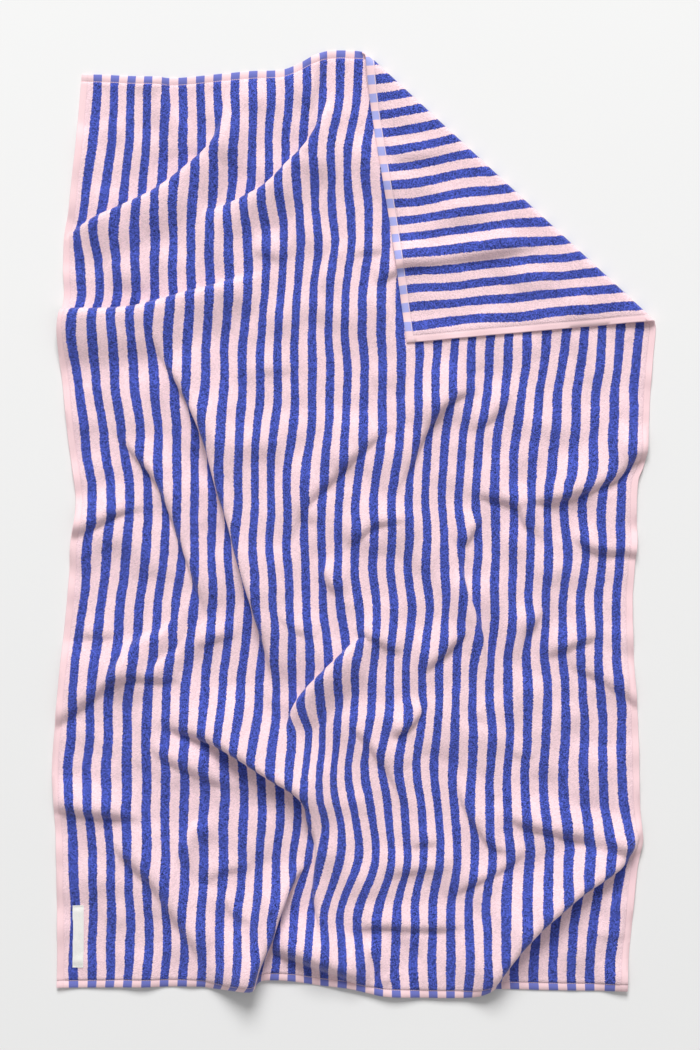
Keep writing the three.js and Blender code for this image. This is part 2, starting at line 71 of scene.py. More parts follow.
bpy.ops.object.select_all(action="DESELECT")
bpy.ops.object.camera_add(location=(VIEW_CENTRE[0], VIEW_CENTRE[1], CAMERA_HEIGHT), rotation=(0, 0, 0))
camera = bpy.context.object
camera.data.sensor_width = SENSOR
camera.data.lens = SENSOR * CAMERA_HEIGHT / VIEW_LENGTH
bpy.context.scene.camera = camera
print("lens", round(camera.data.lens, 1), "mm")

# %% [markdown]
# ## The flat cloth
#
# A towel starts as a flat rectangle, and so does this one: a grid whose cells are about 6 mm. The grid gets
# extra lines of points beside its edges, where the pile stops and the flat hem begins, because the
# thickness changes there within a millimetre or two. Bisect cuts such lines right across a mesh. The UV map
# that comes with the grid already holds each point's place in the flat cloth, and it is kept for the
# stripes and the pile.

# %% Make the flat cloth
WIDTH, LENGTH = 1000.0, 1600.0
CELLS = (160, 256)
SIDE_HEM, END_HEM = 10.5, 12.0
EDGE_ROUND, SEAM_DIP, PILE_SLOPE = 1.2, 1.6, 2.8


def hem_lines(hem):
    """How far from an edge the thickness of a hem of this width changes."""
    return [EDGE_ROUND, hem - SEAM_DIP, hem, hem + PILE_SLOPE]


def cut(point, direction):
    """Cut the mesh that is in edit mode along a plane."""
    bpy.ops.mesh.select_all(action="SELECT")
    bpy.ops.mesh.bisect(plane_co=point, plane_no=direction, threshold=1e-6)


bpy.ops.object.select_all(action="DESELECT")
bpy.ops.mesh.primitive_grid_add(x_subdivisions=CELLS[0], y_subdivisions=CELLS[1], size=1, calc_uvs=True)
cloth = bpy.context.object
cloth.name = cloth.data.name = "towel_cloth"
cloth.data.uv_layers[0].name = "Cloth"
bpy.ops.object.mode_set(mode="EDIT")
bpy.ops.transform.resize(value=(WIDTH * MM, LENGTH * MM, 1))
for side in (-1, 1):
    for inset in hem_lines(SIDE_HEM):
        cut((side * (WIDTH / 2 - inset) * MM, 0, 0), (1, 0, 0))
    for inset in hem_lines(END_HEM):
        cut((0, side * (LENGTH / 2 - inset) * MM, 0), (0, 1, 0))
bpy.ops.object.mode_set(mode="OBJECT")
print("flat cloth", [round(v, 3) for v in cloth.dimensions], "with", len(cloth.data.polygons), "faces")

# %% [markdown]
# ## The outline it lies in
#
# A towel that was shaken out and dropped isn't a rectangle any more: its sides wander by a few centimetres
# where folds take up cloth. Each side is a short table, as it lies before the corner is turned over, with
# the place along the side first. A smooth curve runs through the rows.

# %% Tables of the four sides
LEFT_SIDE = [  # y, x
    (700, -423), (640, -428), (600, -431), (580, -433), (530, -439), (490, -443), (450, -450), (400, -452),
    (350, -451), (305, -460), (260, -458), (210, -452), (115, -442), (60, -434), (20, -432), (-25, -440),
    (-70, -442), (-120, -446), (-220, -456), (-320, -465), (-380, -469), (-440, -466), (-500, -463),
    (-660, -461), (-720, -462),
]
RIGHT_SIDE = [  # y, x
    (705, 474), (360, 469), (303, 469), (260, 465), (210, 461), (120, 456), (90, 450), (70, 442), (20, 439),
    (-20, 440), (-70, 436), (-120, 433), (-210, 435), (-300, 441), (-360, 443), (-430, 444), (-470, 447),
    (-490, 449), (-510, 445), (-540, 440), (-630, 431), (-680, 426), (-725, 425),
]
TOP_SIDE = [  # x, y
    (-423, 700), (-350, 697), (-290, 694), (-240, 696), (-200, 701), (-160, 705), (-110, 707), (-85, 716),
    (-65, 727), (-40, 736), (12, 736), (120, 732), (300, 716), (474, 705),
]
LOWER_SIDE = [  # x, y
    (-462, -720), (-350, -719), (-240, -718), (-215, -721), (-170, -722), (-153, -716), (-144, -709),
    (-100, -709), (-50, -716), (0, -721), (30, -728), (55, -733), (120, -735), (175, -735), (195, -732),
    (210, -725), (225, -722), (320, -724), (425, -725),
]


def soft_step(value):
    """Rise from 0 to 1 with no sudden start or end."""
    share = np.clip(value, 0, 1)
    return share * share * (3 - 2 * share)


def side_place(rows, place):
    """Read a side's table at some places along it, on a smooth curve through its rows."""
    along, across = np.array(sorted(rows), float).T
    here = np.arange(len(along))
    before, after = np.maximum(here - 1, 0), np.minimum(here + 1, len(along) - 1)
    slope = (across[after] - across[before]) / (along[after] - along[before])
    inside = np.clip(place, along[0], along[-1])
    row = np.clip(np.searchsorted(along, inside) - 1, 0, len(along) - 2)
    span = along[row + 1] - along[row]
    share = (inside - along[row]) / span
    bow = share * (1 - share) * span * ((1 - share) * slope[row] - share * slope[row + 1])
    return across[row] + (across[row + 1] - across[row]) * soft_step(share) + bow


CORNERS = {
    "lower left": (LEFT_SIDE[-1][1], LEFT_SIDE[-1][0]),
    "lower right": (RIGHT_SIDE[-1][1], RIGHT_SIDE[-1][0]),
    "top left": (LEFT_SIDE[0][1], LEFT_SIDE[0][0]),
    "top right": (RIGHT_SIDE[0][1], RIGHT_SIDE[0][0]),
}
print("the left side at half length lies at x", round(float(side_place(LEFT_SIDE, 0.0)), 1), "mm")

# %% [markdown]
# ## The folds
#
# Cloth that is pushed together on a floor rises in low waves with one steep flank and one gentle back. Each
# fold here is one row. Its line runs along the steep flank, with the crest on the left hand. Then come how
# high it rises, how far the crest leans out over the flank as a share of that height, and its belly: 0 for
# a back that falls away in a hollow, 1 for a full round one. Each pair holds the values at the two ends of
# the line: how wide the flank is, how wide the back is, and over which share of the line the fold grows to
# its height. A cloth simulation makes folds too, but not these folds, and they are what makes this towel
# recognisable, so they are listed one by one. The shallow ones at the end of the table keep the calm parts
# from looking ironed. Thick terry can't bend sharply, so a flank is never narrower than its tightest bend
# allows.

# %% Tables of the folds
FOLDS = [  # name, line, rise, lean, belly, flank widths, back widths, shares over which it grows
    ("top left", [(-196, 655), (-208, 612), (-226, 582), (-268, 545), (-311, 514), (-360, 491),
                  (-409, 468), (-436, 452)],
     16, 0.9, 1.0, (8, 3), (48, 54), (0.35, 0.15)),
    ("top middle", [(-36, 668), (-52, 622), (-72, 588), (-99, 560), (-137, 523), (-180, 501),
                    (-224, 485)],
     17, 0.9, 1.0, (6, 3), (52, 46), (0.35, 0.3)),
    ("top flute left", [(-266, 610), (-289, 654), (-300, 700)],
     9, 0.2, 0.5, (14, 14), (40, 45), (0.6, 0.1)),
    ("top flute right", [(-72, 640), (-58, 680), (-48, 730)],
     10, 0.2, 0.5, (16, 16), (40, 45), (0.6, 0.1)),
    ("upper left", [(-145, 389), (-180, 379), (-224, 366), (-257, 357), (-295, 346), (-344, 334),
                    (-393, 330), (-450, 330)],
     22, 0.6, 1.0, (8, 9), (52, 76), (0.4, 0.05)),
    ("left middle", [(-440, -14), (-395, 5), (-364, 20), (-317, 25)],
     15, 0.3, 0.6, (20, 8), (45, 36), (0.1, 0.5)),
    ("long crease", [(-312, 285), (-263, 202), (-232, 132), (-213, 62), (-193, 0), (-177, -62),
                     (-138, -187), (-126, -230)],
     24, 0.6, 0.4, (6, 6), (66, 54), (0.3, 0.2)),
    ("long twin", [(-243, 210), (-216, 156), (-193, 101), (-170, 39)],
     6, 0.5, 0.6, (6, 6), (26, 26), (0.4, 0.4)),
    ("left crease", [(-369, 142), (-325, 93), (-302, 62), (-283, 16), (-263, -39), (-244, -93),
                     (-226, -148)],
     15, 0.6, 0.5, (9, 6), (45, 40), (0.25, 0.3)),
    ("centre up", [(-99, -20), (-76, 31), (-37, 70), (2, 109), (40, 140), (74, 162)],
     12, 0.2, 0.8, (12, 10), (60, 50), (0.3, 0.4)),
    ("centre right up", [(62, 44), (87, 93), (103, 132), (134, 179), (165, 202), (192, 203)],
     14, 0.4, 0.7, (7, 10), (52, 58), (0.4, 0.3)),
    ("right middle", [(262, 36), (320, 42), (367, 58), (406, 75), (430, 100), (455, 112)],
     17, 0.4, 0.7, (13, 16), (50, 54), (0.3, 0.1)),
    ("right fork", [(186, 48), (227, 39), (254, 28), (269, 0), (297, -27)],
     12, 0.3, 0.6, (9, 7), (36, 36), (0.3, 0.4)),
    ("right low", [(334, -16), (375, -39), (422, -43), (445, -46)],
     11, 0.3, 0.6, (10, 14), (36, 36), (0.3, 0.1)),
    ("centre low right", [(106, -228), (142, -196), (174, -166)],
     14, 0.4, 0.6, (14, 9), (42, 36), (0.3, 0.3)),
    ("centre low left", [(2, -162), (40, -182), (76, -200)],
     11, 0.3, 0.7, (12, 12), (36, 36), (0.3, 0.3)),
    ("centre low", [(24, -172), (-2, -190), (-23, -211), (-45, -232), (-67, -254), (-82, -272),
                    (-97, -299), (-104, -326)],
     18, 1.0, 1.0, (6, 2), (36, 32), (0.35, 0.3)),
    ("right dip", [(294, -206), (336, -187), (386, -170)], 10, 0.2, 0.7, (14, 12), (36, 36), (0.3, 0.3)),
    ("right dip low", [(332, -216), (375, -235), (420, -262), (446, -285)],
     10, 0.2, 0.7, (12, 14), (46, 46), (0.3, 0.1)),
    ("low knot", [(60, -330), (92, -306), (110, -278)], 14, 0.4, 0.5, (12, 8), (38, 32), (0.3, 0.3)),
    ("low thin", [(-16, -302), (25, -342), (56, -389), (82, -436)],
     9, 0.4, 0.6, (9, 8), (42, 42), (0.3, 0.3)),
    ("great left", [(-300, -312), (-250, -325), (-211, -341), (-178, -360), (-150, -378), (-121, -396),
                    (-92, -414), (-74, -436), (-66, -474)],
     36, 0.6, 0.5, (18, 4), (72, 56), (0.45, 0.3)),
    ("second left", [(-325, -336), (-294, -361), (-255, -380), (-216, -398), (-180, -408)],
     10, 0.2, 0.8, (14, 12), (32, 32), (0.3, 0.3)),
    ("left arc", [(-464, -310), (-411, -268), (-380, -246), (-341, -236), (-294, -241), (-255, -241)],
     13, 0.3, 0.8, (16, 12), (50, 64), (0.1, 0.4)),
    ("left arc crest", [(-255, -117), (-294, -163), (-333, -179), (-364, -210), (-400, -256)],
     9, 0.5, 0.8, (8, 8), (36, 32), (0.4, 0.3)),
    ("left arc twin", [(-236, -150), (-268, -190), (-300, -212), (-330, -236)],
     7, 0.4, 0.8, (8, 8), (28, 28), (0.4, 0.3)),
    ("left level", [(-430, -174), (-395, -173), (-360, -176)], 5, 0.2, 0.6, (8, 8), (30, 30), (0.3, 0.4)),
    ("left low", [(-462, -438), (-411, -447), (-372, -451), (-317, -462)],
     15, 0.2, 0.7, (20, 12), (45, 50), (0.1, 0.5)),
    ("corner left", [(-384, -485), (-349, -521), (-310, -560), (-278, -607), (-247, -653), (-232, -685)],
     15, 0.2, 0.8, (14, 16), (46, 46), (0.3, 0.2)),
    ("small bow", [(-232, -560), (-208, -540), (-162, -532)], 6, 0.2, 0.6, (9, 9), (32, 32), (0.3, 0.4)),
    ("small hook", [(-208, -571), (-185, -607), (-162, -615)], 7, 0.3, 0.6, (9, 8), (32, 32), (0.3, 0.4)),
    ("small crest", [(-216, -447), (-255, -475), (-279, -521)],
     7, 0.3, 0.8, (8, 8), (32, 28), (0.4, 0.4)),
    ("hem left", [(-160, -735), (-151, -692), (-131, -646), (-115, -599), (-92, -548), (-73, -529)],
     32, 0.6, 0.4, (13, 5), (56, 42), (0.1, 0.4)),
    ("middle seam", [(-73, -451), (-57, -498), (-61, -568), (-53, -622), (-45, -661)],
     11, 0.7, 0.4, (4, 4), (34, 34), (0.3, 0.3)),
    ("hem middle", [(-140, -655), (-92, -668), (-60, -680), (-20, -694), (25, -714)],
     24, 0.3, 0.8, (18, 22), (46, 48), (0.3, 0.25)),
    ("low level", [(-2, -630), (33, -624), (110, -627), (196, -627)],
     9, 0.3, 0.6, (9, 8), (36, 36), (0.2, 0.4)),
    ("low bend", [(160, -395), (173, -436), (196, -475), (219, -501), (256, -506)],
     11, 0.4, 0.6, (8, 10), (46, 36), (0.3, 0.3)),
    ("low rise", [(149, -576), (188, -555), (235, -532), (270, -502)],
     9, 0.3, 0.6, (9, 9), (36, 36), (0.3, 0.3)),
    ("right shelf", [(235, -454), (274, -467), (328, -480), (383, -493), (440, -508)],
     14, 0.1, 0.8, (11, 14), (46, 46), (0.25, 0.15)),
    ("great right", [(205, -742), (228, -698), (258, -658), (292, -622), (322, -596), (354, -569),
                     (386, -549), (416, -528), (434, -500), (448, -474)],
     31, 0.6, 0.5, (13, 8), (74, 46), (0.15, 0.35)),
    ("centre left", [(-53, -62), (-37, -93), (-14, -109)], 9, 0.4, 0.6, (7, 7), (36, 36), (0.3, 0.4)),
    ("centre bow", [(-8, -33), (25, -3), (56, 5), (90, 8)], 10, 0.3, 0.7, (10, 9), (40, 40), (0.3, 0.4)),
    ("right up small", [(180, 145), (219, 171), (243, 207)], 9, 0.2, 0.8, (9, 9), (38, 38), (0.4, 0.4)),
    ("pinch", [(170, -35), (183, -12), (198, 10)], 8, 0.6, 0.5, (6, 5), (32, 32), (0.3, 0.3)),
    ("pinch low", [(207, -226), (196, -163), (173, -101), (160, -39)],
     10, 0.8, 0.5, (4, 4), (34, 34), (0.3, 0.3)),
    ("right soft", [(258, -210), (266, -171), (297, -128)], 8, 0.3, 0.8, (9, 9), (36, 36), (0.4, 0.4)),
    ("left small", [(-243, -190), (-208, -174), (-180, -171)], 7, 0.3, 0.7, (9, 8), (32, 32), (0.3, 0.4)),
    ("hem notch", [(17, -653), (36, -677), (44, -712)], 10, 0.4, 0.5, (8, 8), (32, 32), (0.3, 0.1)),
    ("low faint", [(48, -545), (95, -537), (157, -533)], 5, 0.2, 0.7, (9, 9), (32, 32), (0.4, 0.4)),
    ("low faint up", [(84, -500), (110, -496), (138, -493)], 5, 0.2, 0.7, (9, 9), (32, 32), (0.4, 0.4)),
    ("corner faint", [(366, -638), (422, -641)], 4, 0.2, 0.7, (9, 9), (30, 30), (0.4, 0.2)),
    ("mid drop", [(180, -280), (190, -298), (207, -307)], 4, 0.2, 0.7, (9, 9), (32, 32), (0.4, 0.4)),
    ("mid faint", [(235, -350), (266, -361), (290, -353)], 4, 0.2, 0.7, (9, 9), (30, 30), (0.4, 0.4)),
    ("centre low faint", [(-125, -120), (-92, -160), (-58, -178)],
     8, 0.3, 0.8, (9, 9), (42, 38), (0.4, 0.4)),
    ("upper faint", [(-90, 12), (-53, 4)], 4, 0.2, 0.7, (9, 9), (28, 28), (0.4, 0.4)),
    ("upper bow", [(-160, 422), (-131, 418), (-112, 406)], 5, 0.2, 0.7, (9, 9), (32, 32), (0.4, 0.4)),
    ("upper small", [(-154, 243), (-123, 236), (-92, 240)], 4, 0.2, 0.7, (9, 9), (30, 30), (0.4, 0.4)),
    ("upper upright", [(-14, 445), (-42, 405), (-53, 365)], 6, 0.3, 0.7, (8, 8), (32, 32), (0.4, 0.4)),
    ("beside the corner", [(-6, 417), (20, 423), (48, 425)], 5, 0.2, 0.7, (9, 9), (30, 30), (0.4, 0.3)),
    ("below the corner", [(33, 373), (54, 387), (75, 399)], 7, 0.3, 0.6, (9, 9), (30, 30), (0.4, 0.3)),
    ("top small", [(-76, 565), (-60, 572), (-45, 571)], 4, 0.2, 0.7, (9, 9), (28, 28), (0.4, 0.4)),
]
CORNER_FOLDS = [  # the same terms, where the turned corner lies
    ("corner lower", [(60, 400), (150, 411), (230, 423), (310, 436)],
     9, 0.1, 0.7, (14, 12), (40, 36), (0.1, 0.4)),
    ("corner upper", [(66, 566), (110, 572), (160, 584)], 4, 0.1, 0.8, (12, 12), (36, 34), (0.1, 0.5)),
]
RIPPLES = [  # length, direction in degrees, phase, height
    (230, 62, 0.4, 2.0), (170, 115, 2.1, 1.8), (125, 35, 4.0, 1.5), (105, 80, 1.2, 1.4),
    (82, 140, 5.1, 1.1), (71, 20, 0.2, 1.0), (58, 100, 3.3, 0.7), (47, 62, 2.6, 0.5),
]
RIPPLE_BASE = 2.4
RIPPLE_SWAY, RIPPLE_SWAY_RATE = 0.8, 0.37
TIGHTEST_BEND = 3.0
CREST_ROUNDING = 0.13
FOOT_STEEPNESS = 0.4
FOLD_OVERRUN = 0.1
FOLD_MARGIN = 20.0
CURVE_STEPS = 6


def smooth_line(points):
    """Turn a few points into a smooth line of short straight lengths."""
    p = np.array(points, float)
    if len(p) == 2:
        return p[0] + (p[1] - p[0]) * np.linspace(0, 1, CURVE_STEPS + 1)[:, None]
    held = np.vstack([2 * p[0] - p[1], p, 2 * p[-1] - p[-2]])
    line = []
    for a, b, c, d in zip(held, held[1:], held[2:], held[3:]):
        for t in np.arange(CURVE_STEPS) / CURVE_STEPS:
            bend = t * ((2 * a - 5 * b + 4 * c - d) + t * (3 * b - a - 3 * c + d))
            line.append(b + 0.5 * t * (c - a + bend))
    return np.array(line + [p[-1]])


def place_by_line(line, x, y):
    """Tell how far left of a line some places are, at which share of its length, and its direction there."""
    lengths = np.hypot(*np.diff(line, axis=0).T)
    total = lengths.sum()
    nearest = np.full(x.shape, np.inf)
    left, share = np.zeros_like(x), np.zeros_like(x)
    ways = np.zeros((*x.shape, 2))
    start = 0.0
    for index, length in enumerate(lengths):
        way = (line[index + 1] - line[index]) / length
        dx, dy = x - line[index][0], y - line[index][1]
        low = -np.inf if index == 0 else 0.0
        high = np.inf if index == len(lengths) - 1 else length
        along = np.clip(dx * way[0] + dy * way[1], low, high)
        aside = np.hypot(dx - along * way[0], dy - along * way[1])
        gap = np.hypot(aside, np.maximum(np.maximum(-along, along - length), 0))
        nearer = gap < nearest
        nearest[nearer] = gap[nearer]
        left[nearer] = (np.sign(dy * way[0] - dx * way[1]) * aside)[nearer]
        share[nearer] = ((start + along) / total)[nearer]
        ways[nearer] = way
        start += length
    return left, share, ways


def between(ends, share):
    """A value that runs evenly from one end of a fold to the other."""
    return ends[0] + (ends[1] - ends[0]) * share


def raise_folds(folds, x, y):
    """Sideways shift and height that some folds give the cloth at some places."""
    raised = np.zeros((*x.shape, 3))
    for _, points, rise, lean, belly, flanks, backs, grows in folds:
        line = smooth_line(points)
        total = np.hypot(*np.diff(line, axis=0).T).sum()
        reach = max(flanks) + 2 * lean * rise + max(backs) + FOLD_OVERRUN * total + FOLD_MARGIN
        low, high = line.min(0) - reach, line.max(0) + reach
        near = (x > low[0]) & (x < high[0]) & (y > low[1]) & (y < high[1])
        if not near.any():
            continue
        left, share, way = place_by_line(line, x[near], y[near])
        grown = soft_step((share + FOLD_OVERRUN) / (grows[0] + FOLD_OVERRUN))
        grown *= soft_step((1 + FOLD_OVERRUN - share) / (grows[1] + FOLD_OVERRUN))
        held = np.clip(share, 0, 1)
        tall = rise * grown
        leaning = lean * tall
        flank = np.maximum(between(flanks, held) + leaning, np.sqrt(6 * TIGHTEST_BEND * tall))
        up_flank = np.clip((left - leaning / 2) / flank + 0.5, 0, 1)
        climb = soft_step(up_flank ** (1 - FOOT_STEEPNESS * belly))
        past_crest = np.maximum(left - leaning / 2 - flank / 2, 0) / between(backs, held)
        hollow = (1 - np.minimum(np.hypot(past_crest, CREST_ROUNDING) - CREST_ROUNDING, 1)) ** 2
        round_back = (1 - np.minimum(past_crest, 1) ** 2) ** 2
        height = tall * climb * between((hollow, round_back), belly)
        raised[near] += np.stack([lean * height * way[:, 1], -lean * height * way[:, 0], height], axis=-1)
    return raised


def ripple_heights(x, y):
    """Sum the long shallow waves that a floor-laid cloth keeps, flattened where they meet the floor."""
    height = np.full_like(x, RIPPLE_BASE)
    for length, direction, phase, rise in RIPPLES:
        wave, angle = 2 * math.pi / length, math.radians(direction)
        ahead = x * math.cos(angle) + y * math.sin(angle)
        aside = x * math.sin(angle) - y * math.cos(angle)
        sway = RIPPLE_SWAY * np.sin(RIPPLE_SWAY_RATE * wave * aside)
        height += rise * np.sin(wave * ahead + phase + sway)
    return np.maximum(height, 0)


print(len(FOLDS), "folds and", len(RIPPLES), "ripples")

# %% [markdown]
# ## The turned corner
#
# The upper right corner is folded back over the towel along a slanting crease. Past the line where the bend
# begins, the cloth runs round a half circle of 6 mm radius and comes back over itself, where it settles
# close on the cloth below. The folds fade away beside the crease, because the bend keeps the cloth straight
# there. Close to an edge of the towel a fold rises straight up and doesn't lean across that edge, so the
# outline stays the one in the tables.

# %% Turn a corner over
CREASE_FROM, CREASE_TO = np.array([12.0, 738.0]), np.array([469.0, 314.0])
BEND_RADIUS = 6.0
BEND_ARC = math.pi * BEND_RADIUS
BEND_INSET = 7.5
FLAP_LIFT = 5.4
FLAP_SETTLES_OVER = 60.0
CALM_BESIDE_CREASE = 60.0
UPRIGHT_BY_EDGE = 35.0

crease_way = (CREASE_TO - CREASE_FROM) / np.hypot(*(CREASE_TO - CREASE_FROM))
crease_out = np.array([-crease_way[1], crease_way[0]])


def past_bend(x, y):
    """Tell how far some places lie past the line where the corner starts to bend up."""
    return (x - CREASE_FROM[0]) * crease_out[0] + (y - CREASE_FROM[1]) * crease_out[1] + BEND_INSET


def terrain(x, y):
    """Sideways shift and height that the folds and ripples give the cloth on the floor."""
    raised = raise_folds(FOLDS, x, y)
    raised[..., 2] += ripple_heights(x, y)
    from_side = np.minimum(x - side_place(LEFT_SIDE, y), side_place(RIGHT_SIDE, y) - x)
    from_end = np.minimum(y - side_place(LOWER_SIDE, x), side_place(TOP_SIDE, x) - y)
    raised[..., 0] *= soft_step(from_side / UPRIGHT_BY_EDGE)
    raised[..., 1] *= soft_step(from_end / UPRIGHT_BY_EDGE)
    return raised * soft_step(-past_bend(x, y) / CALM_BESIDE_CREASE)[..., None]


def settle(x, y):
    """Bring places of the unturned outline to where the cloth's underside really rests."""
    past = past_bend(x, y)
    on_flap = np.maximum(past, 0)
    turning = on_flap < BEND_ARC
    outward = np.where(turning, BEND_RADIUS * np.sin(on_flap / BEND_RADIUS), BEND_ARC - on_flap)
    settled = soft_step((on_flap - BEND_ARC) / FLAP_SETTLES_OVER)
    round_lift = BEND_RADIUS * (1 - np.cos(np.minimum(on_flap / BEND_RADIUS, math.pi)))
    lift = np.where(turning, round_lift, 2 * BEND_RADIUS + (FLAP_LIFT - 2 * BEND_RADIUS) * settled)
    shift = np.where(past > 0, outward - on_flap, 0)
    turned_x, turned_y = x + shift * crease_out[0], y + shift * crease_out[1]
    place = np.stack([turned_x, turned_y, lift], axis=-1) + settled[..., None] * raise_folds(
        CORNER_FOLDS, turned_x, turned_y)
    below = terrain(turned_x, turned_y)
    below[past > 0, :2] = 0
    return place + below


print("the crease is", round(float(np.hypot(*(CREASE_TO - CREASE_FROM)))), "mm long")

# %% [markdown]
# ## Laying the cloth
#
# Cloth hardly stretches, so a stretch that climbs over a fold covers less floor than a flat one. That is
# why the stripes of a real towel wander. Here every short step of cloth along a row covers less floor where
# the row is steep, and the row is then fitted between the two sides. Neighbouring rows share their shifts,
# because cloth also resists shear. A few rounds of this settle, since moving the cloth moves its folds.
# Hands that push folds together also drag the cloth around them a little, so a short table of soft pushes
# moves it sideways inside its outline.

# %% Find where each point of the flat cloth lies
LAY_STEP = 5.0
LAY_ROUNDS = 4
SHORTEST_RUN = 0.2 * LAY_STEP
SHEAR_REACH = 30.0
OUTLINE_REACH = 280.0
HEM_REACH_LOW, HEM_REACH_TOP = 98.0, 168.0
PUSH_FREE_EDGE = 70.0
PUSHES = [  # where, how far it reaches, shift to the right
    ((-260, -20), 110, 8), ((-110, -150), 75, 5), ((-150, -480), 80, 12), ((-90, -340), 40, 4),
    ((0, -640), 70, -12), ((200, -650), 110, -10), ((230, -490), 100, -5), ((20, -520), 45, 8),
    ((30, -350), 45, -7), ((210, -230), 95, -10), ((215, 70), 80, -11), ((310, 170), 90, -4),
    ((30, 340), 90, -11), ((-240, 430), 60, -7), ((-220, 220), 80, -5), ((0, 570), 60, -4),
]

flat_x = np.arange(0, WIDTH + LAY_STEP / 2, LAY_STEP)
flat_y = np.arange(0, LENGTH + LAY_STEP / 2, LAY_STEP)
even_x = np.broadcast_to(flat_x / WIDTH, (len(flat_y), len(flat_x)))
even_y = np.broadcast_to((flat_y / LENGTH)[:, None], even_x.shape)


def share_out(raised, place, axis):
    """Sum the floor that each step of cloth covers, as a share of its whole row or column."""
    run = np.maximum(np.diff(place, axis=axis), SHORTEST_RUN)
    step = np.diff(raised, axis=axis)
    step[..., 1 - axis] += run
    covers = run / np.linalg.norm(step, axis=-1)
    sums = np.cumsum(covers, axis=axis)
    sums = np.concatenate([np.zeros_like(np.take(sums, [0], axis)), sums], axis)
    return sums / np.take(sums, [-1], axis)


def share_with_neighbours(shift, axis):
    """Blend each row's shift with those of the rows beside it."""
    steps = SHEAR_REACH / LAY_STEP
    total, weights = np.zeros_like(shift), 0.0
    for offset in range(-int(2 * steps), int(2 * steps) + 1):
        weight = math.exp(-0.5 * (offset / steps) ** 2)
        index = np.clip(np.arange(shift.shape[axis]) + offset, 0, shift.shape[axis] - 1)
        total += weight * np.take(shift, index, axis)
        weights += weight
    return total / weights


def fit_outline(share_x, share_y):
    """Place the cloth between its four sides, given how far along its row and column each point is."""
    low_left, low_right, top_left, top_right = (
        np.array(CORNERS[name]) for name in ("lower left", "lower right", "top left", "top right"))
    a, b = share_x[..., None], share_y[..., None]
    place = (low_left * (1 - a) + low_right * a) * (1 - b) + (top_left * (1 - a) + top_right * a) * b
    x, y = place[..., 0], place[..., 1]
    shift_left = side_place(LEFT_SIDE, y[:, 0]) - x[:, 0]
    shift_right = side_place(RIGHT_SIDE, y[:, -1]) - x[:, -1]
    shift_low = side_place(LOWER_SIDE, x[0]) - y[0]
    shift_top = side_place(TOP_SIDE, x[-1]) - y[-1]
    near_left, near_right = (1 - soft_step(d / OUTLINE_REACH) for d in (flat_x, WIDTH - flat_x))
    near_low = 1 - soft_step(flat_y / HEM_REACH_LOW)
    near_top = 1 - soft_step((LENGTH - flat_y) / HEM_REACH_TOP)
    x = x + np.outer(shift_left, near_left) + np.outer(shift_right, near_right)
    y = y + np.outer(near_low, shift_low) + np.outer(near_top, shift_top)
    held = soft_step(np.minimum(flat_x, WIDTH - flat_x) / PUSH_FREE_EDGE)
    pushed = sum(shift * np.exp(-((x - at_x) ** 2 + (y - at_y) ** 2) / (2 * reach ** 2))
                 for (at_x, at_y), reach, shift in PUSHES)
    return x + held * pushed, y


share_x, share_y = even_x, even_y
for _ in range(LAY_ROUNDS):
    laid_x, laid_y = fit_outline(share_x, share_y)
    raised = terrain(laid_x, laid_y)
    share_x = even_x + share_with_neighbours(share_out(raised, laid_x, 1) - even_x, 0)
    share_y = even_y + share_with_neighbours(share_out(raised, laid_y, 0) - even_y, 1)
laid_x, laid_y = fit_outline(share_x, share_y)


def lay(flat):
    """Bring points of the flat cloth, in mm from its lower left corner, to their place in the outline."""
    across = np.clip(flat[:, 0] / LAY_STEP, 0, len(flat_x) - 1.001)
    along = np.clip(flat[:, 1] / LAY_STEP, 0, len(flat_y) - 1.001)
    column, row = across.astype(int), along.astype(int)
    a, b = across - column, along - row
    return [
        (grid[row, column] * (1 - a) + grid[row, column + 1] * a) * (1 - b)
        + (grid[row + 1, column] * (1 - a) + grid[row + 1, column + 1] * a) * b
        for grid in (laid_x, laid_y)
    ]


def flat_places(mesh):
    """Read each point's place in the flat cloth, in mm, from the mesh's own UV map."""
    corners = np.empty(len(mesh.loops), np.int32)
    mesh.loops.foreach_get("vertex_index", corners)
    uv = np.empty(len(mesh.loops) * 2, np.float32)
    mesh.uv_layers["Cloth"].uv.foreach_get("vector", uv)
    flat = np.zeros((len(mesh.vertices), 2))
    flat[corners] = uv.reshape(-1, 2) * (WIDTH, LENGTH)
    return flat


def set_places(mesh, places):
    """Move all the points of a mesh, given in mm."""
    mesh.vertices.foreach_set("co", (np.asarray(places, np.float32) * MM).ravel())
    mesh.update()


flat = flat_places(cloth.data)
x, y = lay(flat)
set_places(cloth.data, np.stack([x, y, np.zeros_like(x)], axis=-1))
print("in its outline the cloth measures", [round(v, 3) for v in cloth.dimensions])

# %% [markdown]
# The bend of the turned corner is tighter than a cell of the grid, so the mesh is cut along lines beside
# the crease before it is bent. This is done now, while the cloth is in its outline and the lines are still
# straight.

# %% Cut the bend and settle the cloth
BEND_STEPS = 8

bpy.ops.object.select_all(action="DESELECT")
cloth.select_set(True)
bpy.context.view_layer.objects.active = cloth
bpy.ops.object.mode_set(mode="EDIT")
for step in range(BEND_STEPS + 1):
    line = CREASE_FROM + crease_out * (step * BEND_ARC / BEND_STEPS - BEND_INSET)
    cut((line[0] * MM, line[1] * MM, 0), (crease_out[0], crease_out[1], 0))
bpy.ops.object.mode_set(mode="OBJECT")

outline_places = np.empty(len(cloth.data.vertices) * 3, np.float32)
cloth.data.vertices.foreach_get("co", outline_places)
outline_places = outline_places.reshape(-1, 3) / MM
flat = flat_places(cloth.data)

